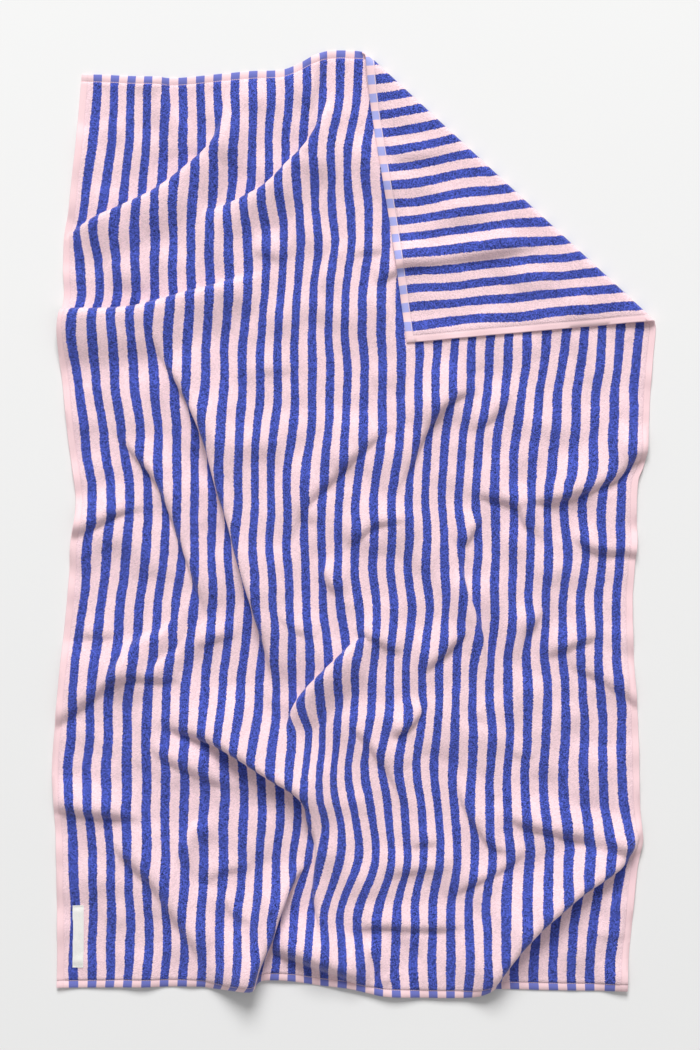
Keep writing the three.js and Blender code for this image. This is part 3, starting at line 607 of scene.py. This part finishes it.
# %% [markdown]
# ## Pile, hems and thickness
#
# Terry is thick where it has its loops and thin where the weave is plain: along the hems, and most of all
# in the groove that the seam pulls down beside them. The height at which the middle of the cloth lies is
# half of that thickness over the floor, so a thin hem still touches down. A vertex group tells the Solidify
# modifier how thick the cloth is at each point.

# %% Give the cloth its thickness
PILE_THICK, EDGE_THICK = 4.6, 1.8
SIDE_HEM_THICK, SIDE_GROOVE_THICK = 3.8, 3.4
END_HEM_THICK, END_GROOVE_THICK = 3.0, 2.5


def edge_profile(distance, hem, thick, groove):
    """Thickness of the cloth at some distance from an edge with a hem of this width."""
    return np.interp(distance, [0, *hem_lines(hem)], [EDGE_THICK, thick, thick, groove, PILE_THICK])


def thickness(flat):
    """Thickness of the cloth at places of the flat cloth."""
    from_side = WIDTH / 2 - np.abs(flat[:, 0] - WIDTH / 2)
    from_end = LENGTH / 2 - np.abs(flat[:, 1] - LENGTH / 2)
    return np.minimum(edge_profile(from_side, SIDE_HEM, SIDE_HEM_THICK, SIDE_GROOVE_THICK),
                      edge_profile(from_end, END_HEM, END_HEM_THICK, END_GROOVE_THICK))


thick = thickness(flat)
middle = settle(outline_places[:, 0], outline_places[:, 1])
middle[:, 2] += thick / 2
own_low, own_high = middle.min(0), middle.max(0)
to_frame = (np.array(towel_low) + np.array(towel_high)) / 2 / MM - (own_low + own_high) / 2
to_frame[2] = 0
set_places(cloth.data, middle + to_frame)

pile = cloth.vertex_groups.new(name="pile")
for level in np.unique(np.round(thick, 2)):
    members = np.flatnonzero(np.round(thick, 2) == level)
    pile.add(members.tolist(), float(level) / PILE_THICK, "REPLACE")
print("moved by", [round(v, 2) for v in to_frame], "mm; thickness from", thick.min(), "to", thick.max())

# %% [markdown]
# Solidify makes the sheet a closed shell, with its second material on the underside. It can only hand out
# material slots that are there already, so the cloth gets two empty ones first. The underside's points come
# after the upper ones, in the same order, so each point's place in the flat cloth is still known. That is
# used for a second UV map, which lays both faces side by side with the rim as a narrow strip around the
# upper one. A baked picture of the material can use that map with no overlaps. Beside steep folds the
# underside can dip below the floor, and those points are lifted back to it.

# %% Close the shell and map it
MAP_MARGIN = 6.0
RIM_STRIP = 0.7 * MAP_MARGIN
SMOOTH_BELOW = math.radians(60)


def apply_shell(piece, **settings):
    """Give a sheet its two faces and a rim."""
    bpy.ops.object.select_all(action="DESELECT")
    piece.select_set(True)
    bpy.context.view_layer.objects.active = piece
    shell = piece.modifiers.new("shell", "SOLIDIFY")
    shell.offset = 0
    for name, value in settings.items():
        setattr(shell, name, value)
    bpy.ops.object.modifier_apply(modifier=shell.name)
    bpy.ops.object.shade_smooth_by_angle(angle=SMOOTH_BELOW)


def map_faces(mesh, flat, size):
    """Lay the two faces of a shell side by side in a UV map of their own, with its rim around the first."""
    corners = np.empty(len(mesh.loops), np.int32)
    mesh.loops.foreach_get("vertex_index", corners)
    sizes = np.empty(len(mesh.polygons), np.int32)
    mesh.polygons.foreach_get("loop_total", sizes)
    face = np.repeat(np.arange(len(sizes)), sizes)
    under = corners >= len(flat)
    share_under = (np.bincount(face, under) / sizes)[face]
    at = flat[corners % len(flat)].copy()
    size = np.array(size)
    outwards = np.where(at > size - 1e-3, 1, np.where(at < 1e-3, -1, 0))
    on_rim = (share_under > 0) & (share_under < 1) & under
    at[on_rim] += outwards[on_rim] * RIM_STRIP
    at += MAP_MARGIN
    at[share_under == 1, 0] += size[0] + 2 * MAP_MARGIN
    whole = np.array([2 * (size[0] + 2 * MAP_MARGIN), size[1] + 2 * MAP_MARGIN])
    mesh.uv_layers.new(name="OFBake").uv.foreach_set("vector", (at / whole).astype(np.float32).ravel())


for _ in range(2):
    cloth.data.materials.append(None)
apply_shell(cloth, thickness=PILE_THICK * MM, vertex_group="pile", material_offset=1, material_offset_rim=0)
map_faces(cloth.data, flat, (WIDTH, LENGTH))
settled_places = np.empty(len(cloth.data.vertices) * 3, np.float32)
cloth.data.vertices.foreach_get("co", settled_places)
settled_places[2::3] = np.maximum(settled_places[2::3], 0)
cloth.data.vertices.foreach_set("co", settled_places)
bpy.context.view_layer.update()
triangles = sum(len(face.vertices) - 2 for face in cloth.data.polygons)
print("the towel has", triangles, "triangles and measures", [round(v, 4) for v in cloth.dimensions])

# %% [markdown]
# ## Stitches
#
# The hems are sewn with a plain lockstitch, a row of short threads that sink into the groove. One stitch is
# modelled from a sphere with few faces, and its copies are set along the four edges on both faces of the
# cloth, each turned to lie on it. They are small, so a few dozen faces each are plenty.

# %% Sew the hems
STITCH_LENGTH, STITCH_PITCH, THREAD = 2.9, 3.6, 0.75
SEAM_END = 3.0
SEAM_INSET = 0.4
THREAD_RISE = 0.05


def on_cloth(flat, rise=0.0):
    """Place, directions and facing of the cloth's middle, or of points that rise above it."""
    def middle_of(points):
        return settle(*lay(points))
    probe = 0.5
    across = middle_of(flat + (probe, 0)) - middle_of(flat - (probe, 0))
    along = middle_of(flat + (0, probe)) - middle_of(flat - (0, probe))
    facing = np.cross(across, along)
    across, along, facing = (v / np.linalg.norm(v, axis=1, keepdims=True) for v in (across, along, facing))
    place = middle_of(flat) + to_frame
    place[:, 2] += thickness(flat) / 2
    return place + np.reshape(rise, (-1, 1)) * facing, across, along, facing


def one_stitch(length):
    """Model one stitch, in mm, and give back its points and faces."""
    bpy.ops.object.select_all(action="DESELECT")
    bpy.ops.mesh.primitive_uv_sphere_add(segments=6, ring_count=4, radius=0.5)
    bpy.ops.object.mode_set(mode="EDIT")
    bpy.ops.transform.rotate(value=math.pi / 2, orient_axis="Y", center_override=(0, 0, 0))
    bpy.ops.transform.resize(value=(length, THREAD, THREAD * 0.8))
    bpy.ops.object.mode_set(mode="OBJECT")
    stitch = bpy.context.object
    points = np.array([tuple(point.co) for point in stitch.data.vertices])
    faces = [tuple(face.vertices) for face in stitch.data.polygons]
    bpy.data.objects.remove(stitch)
    return points, faces


def sew(name, places, ways, facings):
    """Make one piece of many stitches, each along its way and on its facing."""
    points, faces = one_stitch(STITCH_LENGTH)
    sideways = np.cross(facings, ways)
    laid = (places[:, None] + points[None, :, :1] * ways[:, None]
            + points[None, :, 1:2] * sideways[:, None] + points[None, :, 2:] * facings[:, None])
    mesh = bpy.data.meshes.new(name)
    numbered = [tuple(i + first for i in face) for first in range(0, len(places) * len(points), len(points))
                for face in faces]
    mesh.from_pydata((laid.reshape(-1, 3) * MM).tolist(), [], numbered)
    mesh.shade_smooth()
    piece = bpy.data.objects.new(name, mesh)
    bpy.context.collection.objects.link(piece)
    return piece


def seam_line(start, end):
    """Middles of the stitches along a straight seam of the flat cloth."""
    start, end = np.array(start), np.array(end)
    count = int(np.hypot(*(end - start)) / STITCH_PITCH)
    return start + (end - start) * ((np.arange(count) + 0.5) / count)[:, None]


SIDE_SEAM, END_SEAM = SIDE_HEM - SEAM_INSET, END_HEM - SEAM_INSET
places, ways, facings = [], [], []
for seam, lengthways in (
    (seam_line((SIDE_SEAM, SEAM_END), (SIDE_SEAM, LENGTH - SEAM_END)), True),
    (seam_line((WIDTH - SIDE_SEAM, SEAM_END), (WIDTH - SIDE_SEAM, LENGTH - SEAM_END)), True),
    (seam_line((SEAM_END, END_SEAM), (WIDTH - SEAM_END, END_SEAM)), False),
    (seam_line((SEAM_END, LENGTH - END_SEAM), (WIDTH - SEAM_END, LENGTH - END_SEAM)), False),
):
    for face in (1, -1):
        place, across, along, facing = on_cloth(seam, rise=face * (thickness(seam) / 2 + THREAD_RISE))
        places.append(place)
        ways.append(along if lengthways else across)
        facings.append(facing * face)
stitches = sew("hem_stitches", *(np.concatenate(rows) for rows in (places, ways, facings)))
print(sum(len(rows) for rows in places), "stitches with", len(stitches.data.polygons), "faces")

# %% [markdown]
# ## The label
#
# A narrow woven label is sewn on near the lower left corner, along the first blue stripe, and here it stays
# blank. It is a thin ribbon that rests on the pile, held down by a short seam at each end and a little
# proud between them. It starts as a small grid and is laid with the same functions as the towel.

# %% Make the label
LABEL_SIZE = (18.0, 106.0)
LABEL_CORNER = (25.5, 34.5)
LABEL_THICK = 0.7
LABEL_LIFT = 0.25
LABEL_PUFF, PUFF_OVER = 0.9, 9.0
LABEL_SEAM = 3.0
SIDE_PUFF, SIDE_PUFF_OVER = 0.55, 6.0
TUCK_DEPTH, TUCK_WIDTH = 0.25, 1.2
WAVE_HEIGHT = 0.22
LABEL_SEAM_INSET = 1.2

bpy.ops.object.select_all(action="DESELECT")
bpy.ops.mesh.primitive_grid_add(x_subdivisions=12, y_subdivisions=70, size=1, calc_uvs=True)
label = bpy.context.object
label.name = label.data.name = "label_patch"
label.data.uv_layers[0].name = "Cloth"
label_uv = np.empty(len(label.data.loops) * 2, np.float32)
label.data.uv_layers["Cloth"].uv.foreach_get("vector", label_uv)
corners = np.empty(len(label.data.loops), np.int32)
label.data.loops.foreach_get("vertex_index", corners)
label_flat = np.zeros((len(label.data.vertices), 2))
label_flat[corners] = label_uv.reshape(-1, 2) * LABEL_SIZE


def label_rise(own):
    """Height of the label's middle over the middle of the towel's cloth, at places of the label."""
    from_end = LABEL_SIZE[1] / 2 - np.abs(own[:, 1] - LABEL_SIZE[1] / 2)
    from_side = LABEL_SIZE[0] / 2 - np.abs(own[:, 0] - LABEL_SIZE[0] / 2)
    puffed = soft_step((from_end - LABEL_SEAM) / PUFF_OVER)
    puffed *= between((SIDE_PUFF, 1), soft_step(from_side / SIDE_PUFF_OVER))
    tuck = TUCK_DEPTH * np.exp(-((from_end - LABEL_SEAM) / TUCK_WIDTH) ** 2)
    waves = WAVE_HEIGHT * np.sin(own[:, 1] / 6.1 + 0.7) * np.sin(own[:, 0] / 7.5 + 0.4 + own[:, 1] / 31)
    return PILE_THICK / 2 + LABEL_THICK / 2 + LABEL_LIFT + (LABEL_PUFF + waves) * puffed - tuck


label_place = on_cloth(label_flat + LABEL_CORNER, rise=label_rise(label_flat))[0]
set_places(label.data, label_place)
apply_shell(label, thickness=LABEL_THICK * MM)
map_faces(label.data, label_flat, LABEL_SIZE)

rows = []
for from_end in (LABEL_SEAM, LABEL_SIZE[1] - LABEL_SEAM):
    rows.append(seam_line((LABEL_SEAM_INSET, from_end), (LABEL_SIZE[0] - LABEL_SEAM_INSET, from_end)))
own = np.concatenate(rows)
place, across, along, facing = on_cloth(own + LABEL_CORNER, rise=label_rise(own) + LABEL_THICK / 2)
label_stitches = sew("label_stitches", place, across, facing)
label_low, label_high = label_place.min(0).round(1), label_place.max(0).round(1)
print("label from", label_low, "to", label_high, "mm")

# %% [markdown]
# ## Materials
#
# The stripes are woven from dyed yarn, so they belong to the flat cloth: the material reads the UV map and
# repeats blue and pink across its width. A broad noise lets the stripes wander by a few millimetres, as a
# soft weave does, and a fine one frays their edges, where loops of one colour lean over the next. The pile
# itself is too fine to model, about one loop every two millimetres, so a pattern of small cells gives each
# loop a rounded bump and its own painted light and shade, darker at its edge where the gaps between loops
# lie in shade, and a soft sheen stands for the fuzz. In the hems there are no loops, only a plain weave
# whose blue looks paler. A line is painted along the edge of each hem: on the face it is a darker one, a
# painted shadow in the groove under the pile, and on the reverse it is a paler one.

# %% Helpers for materials
def srgb(red, green, blue):
    """Colour values of 0 to 255, as a screen shows them, made linear."""
    shares = [value / 255 for value in (red, green, blue)]
    return (*[s / 12.92 if s <= 0.04045 else ((s + 0.055) / 1.055) ** 2.4 for s in shares], 1)


def add(tree, kind, inputs=None, **settings):
    """Add a node with its settings, and give each input a value or join it to another node's output."""
    node = tree.nodes.new(kind)
    for name, value in settings.items():
        setattr(node, name, value)
    for key, value in (inputs or {}).items():
        if isinstance(value, bpy.types.NodeSocket):
            tree.links.new(value, node.inputs[key])
        else:
            node.inputs[key].default_value = value
    return node


def calc(tree, operation, *values):
    """Add a math node and give back its result."""
    return add(tree, "ShaderNodeMath", dict(enumerate(values)), operation=operation).outputs[0]


def blend(tree, share, first, second, kind="MIX"):
    """Mix two colours and give back the result."""
    inputs = {0: share, 6: first, 7: second}
    return add(tree, "ShaderNodeMix", inputs, data_type="RGBA", blend_type=kind).outputs[2]


def in_mm(tree, size):
    """Place in the flat cloth of this size, in mm, from the piece's own UV map."""
    uv = add(tree, "ShaderNodeUVMap", uv_map="Cloth").outputs["UV"]
    return add(tree, "ShaderNodeVectorMath", {0: uv, 1: size}, operation="MULTIPLY").outputs[0]


def from_edge(tree, place, size):
    """Distance of a place from the nearer of two opposite edges."""
    from_middle = calc(tree, "ABSOLUTE", calc(tree, "SUBTRACT", place, size / 2))
    return calc(tree, "SUBTRACT", size / 2, from_middle)


def weave_wave(tree, place, rate, distortion, way, **more):
    """Soft waves across one direction, as the threads of a weave give."""
    inputs = {"Vector": place, "Scale": rate, "Distortion": distortion, **more}
    return add(tree, "ShaderNodeTexWave", inputs, bands_direction=way).outputs["Fac"]


def band(tree, value, low, high, soft):
    """1 where a value lies between two bounds, with soft edges, and 0 elsewhere."""
    rise = add(tree, "ShaderNodeMapRange", {0: value, 1: low - soft, 2: low + soft, 3: 0.0, 4: 1.0})
    fall = add(tree, "ShaderNodeMapRange", {0: value, 1: high - soft, 2: high + soft, 3: 1.0, 4: 0.0})
    return calc(tree, "MULTIPLY", rise.outputs[0], fall.outputs[0])


# %% The terry, on its face and on its reverse
STRIPE_PITCH, BLUE_WIDTH, STRIPE_MARGIN, STRIPE_SLACK = 30.5, 15.2, 19.4, 3.0
PINK, BLUE = srgb(246, 213, 220), srgb(66, 81, 171)
HEM_PINK = srgb(249, 214, 218)
FACE_HEM_BLUE, REVERSE_HEM_BLUE = srgb(110, 117, 194), srgb(168, 173, 232)
FRAY, LEAN, WANDER, RAGGED = (1.8, 1.3), (17, 0.6), (90, 4.0), (3.2, 0.8)  # size, reach
LOOP = 1.6
# How much darker each loop is painted at its edge, as shade between loops, and the middle of its painted
# light
LOOP_GAP_SHADE, LOOP_MIDDLE = 0.9, 0.12
# How strongly the painted light and shade of the loops shows on pink and on blue
PINK_CONTRAST, BLUE_CONTRAST = 0.22, 1.35
WEFT_RATE, WARP_RATE = 0.55, 0.42
WEAVE_SHADE = (0.35, 0.3, 0.42, 1)


def terry(name, hem_blue, seam_shade):
    """Material of the striped pile and its flat hems."""
    material = bpy.data.materials.new(name)
    material.use_nodes = True
    tree = material.node_tree
    shader = tree.nodes["Principled BSDF"]
    flat_mm = in_mm(tree, (WIDTH, LENGTH, 0))
    split = add(tree, "ShaderNodeSeparateXYZ", {0: flat_mm})
    across, along = split.outputs[0], split.outputs[1]

    def noise(size, detail):
        return add(tree, "ShaderNodeTexNoise", {"Vector": flat_mm, "Scale": 1 / size, "Detail": detail},
                   noise_dimensions="2D").outputs["Fac"]

    def swing(size, reach, detail=0.0):
        return calc(tree, "MULTIPLY_ADD", noise(size, detail), 2 * reach, -reach)

    def blue_at(place):
        in_pitch = calc(tree, "FLOORED_MODULO", calc(tree, "SUBTRACT", place, STRIPE_MARGIN), STRIPE_PITCH)
        return calc(tree, "MULTIPLY", calc(tree, "LESS_THAN", in_pitch, BLUE_WIDTH), inside)

    # Stripes, pulled a little out of true here and there, with edges that lean and fray
    pulled = calc(tree, "ADD", across, swing(*WANDER))
    frayed = calc(tree, "ADD", pulled, calc(tree, "ADD", swing(*FRAY), swing(*LEAN)))
    inside = calc(tree, "LESS_THAN", calc(tree, "ABSOLUTE", calc(tree, "SUBTRACT", frayed, WIDTH / 2)),
                  WIDTH / 2 - STRIPE_MARGIN + STRIPE_SLACK)
    pile_blue, hem_is_blue = blue_at(frayed), blue_at(pulled)

    # Where the hems are
    from_side, from_end = from_edge(tree, across, WIDTH), from_edge(tree, along, LENGTH)
    ragged = swing(*RAGGED, detail=2.0)
    end_hem = calc(tree, "LESS_THAN", calc(tree, "ADD", from_end, ragged), END_HEM + 0.6)
    side_hem = calc(tree, "LESS_THAN", calc(tree, "ADD", from_side, ragged), SIDE_HEM + 0.4)
    hem = calc(tree, "MAXIMUM", end_hem, side_hem)

    # Painted light and shade of each loop, and random tone of broad patches of pile
    cells = add(tree, "ShaderNodeTexVoronoi", {"Vector": flat_mm, "Scale": 1 / LOOP, "Randomness": 0.9},
                voronoi_dimensions="2D")
    loop_painted_light = add(tree, "ShaderNodeSeparateColor", {0: cells.outputs["Color"]}).outputs[0]
    from_loop = cells.outputs["Distance"]
    # Each loop is darker towards its edge: painted shade in the gaps between loops
    loop_painted_light_and_shade = calc(tree, "SUBTRACT", loop_painted_light, calc(tree, "MULTIPLY", from_loop, LOOP_GAP_SHADE))
    contrast = add(tree, "ShaderNodeMapRange", {0: pile_blue, 3: PINK_CONTRAST, 4: BLUE_CONTRAST}).outputs[0]
    pile_painted_light_and_tone = calc(tree, "MULTIPLY_ADD", calc(tree, "SUBTRACT", loop_painted_light_and_shade, LOOP_MIDDLE), contrast, 1.0)
    patches = calc(tree, "MULTIPLY_ADD", noise(30, 3.0), 0.10, 0.95)
    pile_painted_light_and_tone = calc(tree, "MULTIPLY", pile_painted_light_and_tone, patches)
    grey = add(tree, "ShaderNodeCombineColor", {0: pile_painted_light_and_tone, 1: pile_painted_light_and_tone, 2: pile_painted_light_and_tone}).outputs[0]
    pile_colour_and_shade = blend(tree, 1.0, blend(tree, pile_blue, PINK, BLUE), grey, "MULTIPLY")

    # Weave of the hems
    weft = weave_wave(tree, flat_mm, WEFT_RATE, 0.6, "Y", Detail=1.0)
    warp = weave_wave(tree, flat_mm, WARP_RATE, 0.5, "X", Detail=1.0)
    weave = calc(tree, "MULTIPLY", weft, warp)
    hem_colour = blend(tree, hem_is_blue, HEM_PINK, hem_blue)
    woven = blend(tree, calc(tree, "MULTIPLY", weave, 0.10), hem_colour, WEAVE_SHADE)
    # A line painted along each hem's edge, fainter along the sides
    seam = calc(tree, "MAXIMUM", band(tree, from_end, END_HEM - 0.9, END_HEM + 0.9, 0.4),
                calc(tree, "MULTIPLY", band(tree, from_side, SIDE_HEM - 0.7, SIDE_HEM + 0.7, 0.4), 0.4))
    colour = blend(tree, hem, pile_colour_and_shade, woven)
    # On the face this line is a painted shadow in the groove under the pile; on the reverse it is a paler
    # line
    colour = blend(tree, calc(tree, "MULTIPLY", seam, seam_shade[1]), colour, seam_shade[0])
    tree.links.new(colour, shader.inputs["Base Color"])

    # Loops and weave as relief
    loops = calc(tree, "SUBTRACT", 1.0, calc(tree, "MULTIPLY", from_loop, 1.5))
    tufts = calc(tree, "MULTIPLY", noise(5.0, 3.0), 0.5)
    relief = calc(tree, "ADD", loops, tufts)
    woven_relief = calc(tree, "MULTIPLY", weave, 0.25)
    height = add(tree, "ShaderNodeMix", {0: hem, 2: relief, 3: woven_relief}, data_type="FLOAT").outputs[0]
    bump = add(tree, "ShaderNodeBump", {"Strength": 0.5, "Distance": 0.0009, "Height": height})
    tree.links.new(bump.outputs[0], shader.inputs["Normal"])
    shader.inputs["Roughness"].default_value = 0.95
    shader.inputs["Specular IOR Level"].default_value = 0.15
    shader.inputs["Sheen Weight"].default_value = 0.5
    shader.inputs["Sheen Roughness"].default_value = 0.45
    shader.inputs["Sheen Tint"].default_value = srgb(250, 240, 244)
    return material


# The face's hem line is a darker painted shadow in the groove; the reverse's is a paler line
cloth.data.materials[0] = terry("terry face", FACE_HEM_BLUE, (srgb(205, 164, 172), 0.55))
cloth.data.materials[1] = terry("terry reverse", REVERSE_HEM_BLUE, (srgb(250, 232, 238), 0.75))
face_index = np.empty(len(cloth.data.polygons), np.int32)
cloth.data.polygons.foreach_get("material_index", face_index)
print("faces on each material", np.bincount(face_index))

# %% [markdown]
# The label is a tight off-white weave with a fine rib along it, and its two cut ends are turned under. The
# hem thread is a pale pink cotton with a slight gloss, and the label's thread matches the label.

# %% The label and the threads
RIB_RATE, PICK_RATE = 0.5, 0.7
TWIST_RATE = 900.0


def woven_label():
    """Material of the blank label."""
    material = bpy.data.materials.new("label weave")
    material.use_nodes = True
    tree = material.node_tree
    shader = tree.nodes["Principled BSDF"]
    own_mm = in_mm(tree, (*LABEL_SIZE, 0))
    split = add(tree, "ShaderNodeSeparateXYZ", {0: own_mm})
    rib = weave_wave(tree, own_mm, RIB_RATE, 0.3, "X")
    pick = weave_wave(tree, own_mm, PICK_RATE, 0.3, "Y")
    weave = calc(tree, "MULTIPLY", rib, pick)
    from_side = from_edge(tree, split.outputs[0], LABEL_SIZE[0])
    # Both long edges are painted lighter: a painted highlight along the label's edges
    edge_highlight = band(tree, from_side, -1.0, 1.0, 0.3)
    mottle = add(tree, "ShaderNodeTexNoise", {"Vector": own_mm, "Scale": 0.12, "Detail": 3.0},
                 noise_dimensions="2D").outputs["Fac"]
    colour = blend(tree, mottle, srgb(236, 235, 230), srgb(248, 247, 242))
    colour = blend(tree, calc(tree, "MULTIPLY", edge_highlight, 0.7), colour, srgb(250, 250, 247))
    colour = blend(tree, calc(tree, "MULTIPLY", weave, 0.15), colour, srgb(188, 187, 182))
    tree.links.new(colour, shader.inputs["Base Color"])
    bump = add(tree, "ShaderNodeBump", {"Strength": 0.5, "Distance": 0.0003, "Height": weave})
    tree.links.new(bump.outputs[0], shader.inputs["Normal"])
    shader.inputs["Roughness"].default_value = 0.7
    shader.inputs["Specular IOR Level"].default_value = 0.3
    shader.inputs["Sheen Weight"].default_value = 0.1
    return material


def thread(name, colour, shadow):
    """Material of a twisted sewing thread."""
    material = bpy.data.materials.new(name)
    material.use_nodes = True
    tree = material.node_tree
    shader = tree.nodes["Principled BSDF"]
    place = add(tree, "ShaderNodeTexCoord").outputs["Object"]
    twist = weave_wave(tree, place, TWIST_RATE, 1.0, "DIAGONAL")
    twisted = blend(tree, calc(tree, "MULTIPLY", twist, 0.6), colour, shadow)
    tree.links.new(twisted, shader.inputs["Base Color"])
    bump = add(tree, "ShaderNodeBump", {"Strength": 0.4, "Distance": 0.0001, "Height": twist})
    tree.links.new(bump.outputs[0], shader.inputs["Normal"])
    shader.inputs["Roughness"].default_value = 0.55
    return material


label.data.materials.append(woven_label())
stitches.data.materials.append(thread("hem thread", srgb(250, 226, 230), srgb(234, 202, 208)))
label_stitches.data.materials.append(thread("label thread", srgb(226, 225, 220), srgb(196, 195, 190)))
print(len(bpy.data.materials), "materials in the file")

# %% [markdown]
# ## Floor and light
#
# The towel lies in a bright, soft studio: a large light far past its top end, a little to the left and 38
# degrees up, and an even pale surround. From so far away the floor is lit evenly, and the low light gives
# each fold a bright side and a shaded one with soft edges. The Standard view keeps the pale floor and the
# dyed colours as they are, with no film-like curve.

# %% Light the scene
FLOOR_SIZE = 14.0
LIGHT_DISTANCE, LIGHT_HEIGHT_ANGLE, LIGHT_TURN = 16.5, 38.0, 3.0
LIGHT_SIZE, LIGHT_POWER = 7.0, 2990.0
SURROUND = 0.41

bpy.ops.object.select_all(action="DESELECT")
bpy.ops.mesh.primitive_plane_add(size=FLOOR_SIZE, location=(0, 0, 0))
floor = bpy.context.object
floor.name = "floor"
floor_paint = bpy.data.materials.new("pale floor")
floor_paint.use_nodes = True
paint = floor_paint.node_tree
place = add(paint, "ShaderNodeTexCoord").outputs["Object"]
cloudy = add(paint, "ShaderNodeTexNoise", {"Vector": place, "Scale": 1.2, "Detail": 2.0}).outputs["Fac"]
tone = blend(paint, cloudy, srgb(232, 232, 232), srgb(235, 235, 234))
paint.links.new(tone, paint.nodes["Principled BSDF"].inputs["Base Color"])
paint.nodes["Principled BSDF"].inputs["Roughness"].default_value = 0.9
paint.nodes["Principled BSDF"].inputs["Specular IOR Level"].default_value = 0.1
floor.data.materials.append(floor_paint)

angle, turn = math.radians(LIGHT_HEIGHT_ANGLE), math.radians(LIGHT_TURN)
light_place = (-LIGHT_DISTANCE * math.cos(angle) * math.sin(turn),
               LIGHT_DISTANCE * math.cos(angle) * math.cos(turn), LIGHT_DISTANCE * math.sin(angle))
bpy.ops.object.light_add(type="AREA", location=light_place, rotation=(angle - math.pi / 2, 0, turn))
key = bpy.context.object
key.data.shape = "SQUARE"
key.data.size = LIGHT_SIZE
key.data.energy = LIGHT_POWER

world = bpy.data.worlds.new("surround")
bpy.context.scene.world = world
world.use_nodes = True
world.node_tree.nodes["Background"].inputs["Color"].default_value = (1.0, 1.0, 1.0, 1)
world.node_tree.nodes["Background"].inputs["Strength"].default_value = SURROUND
bpy.context.scene.view_settings.view_transform = "Standard"
print("light at", [round(v, 2) for v in light_place])

# %% [markdown]
# ## Hand over
#
# Each piece is tied to the solid part, and the solid towel and its label are hidden.

# %% Tie the pieces to the part
for piece in (cloth, stitches, label, label_stitches):
    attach(piece, "root")
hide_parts("towel")
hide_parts("label")
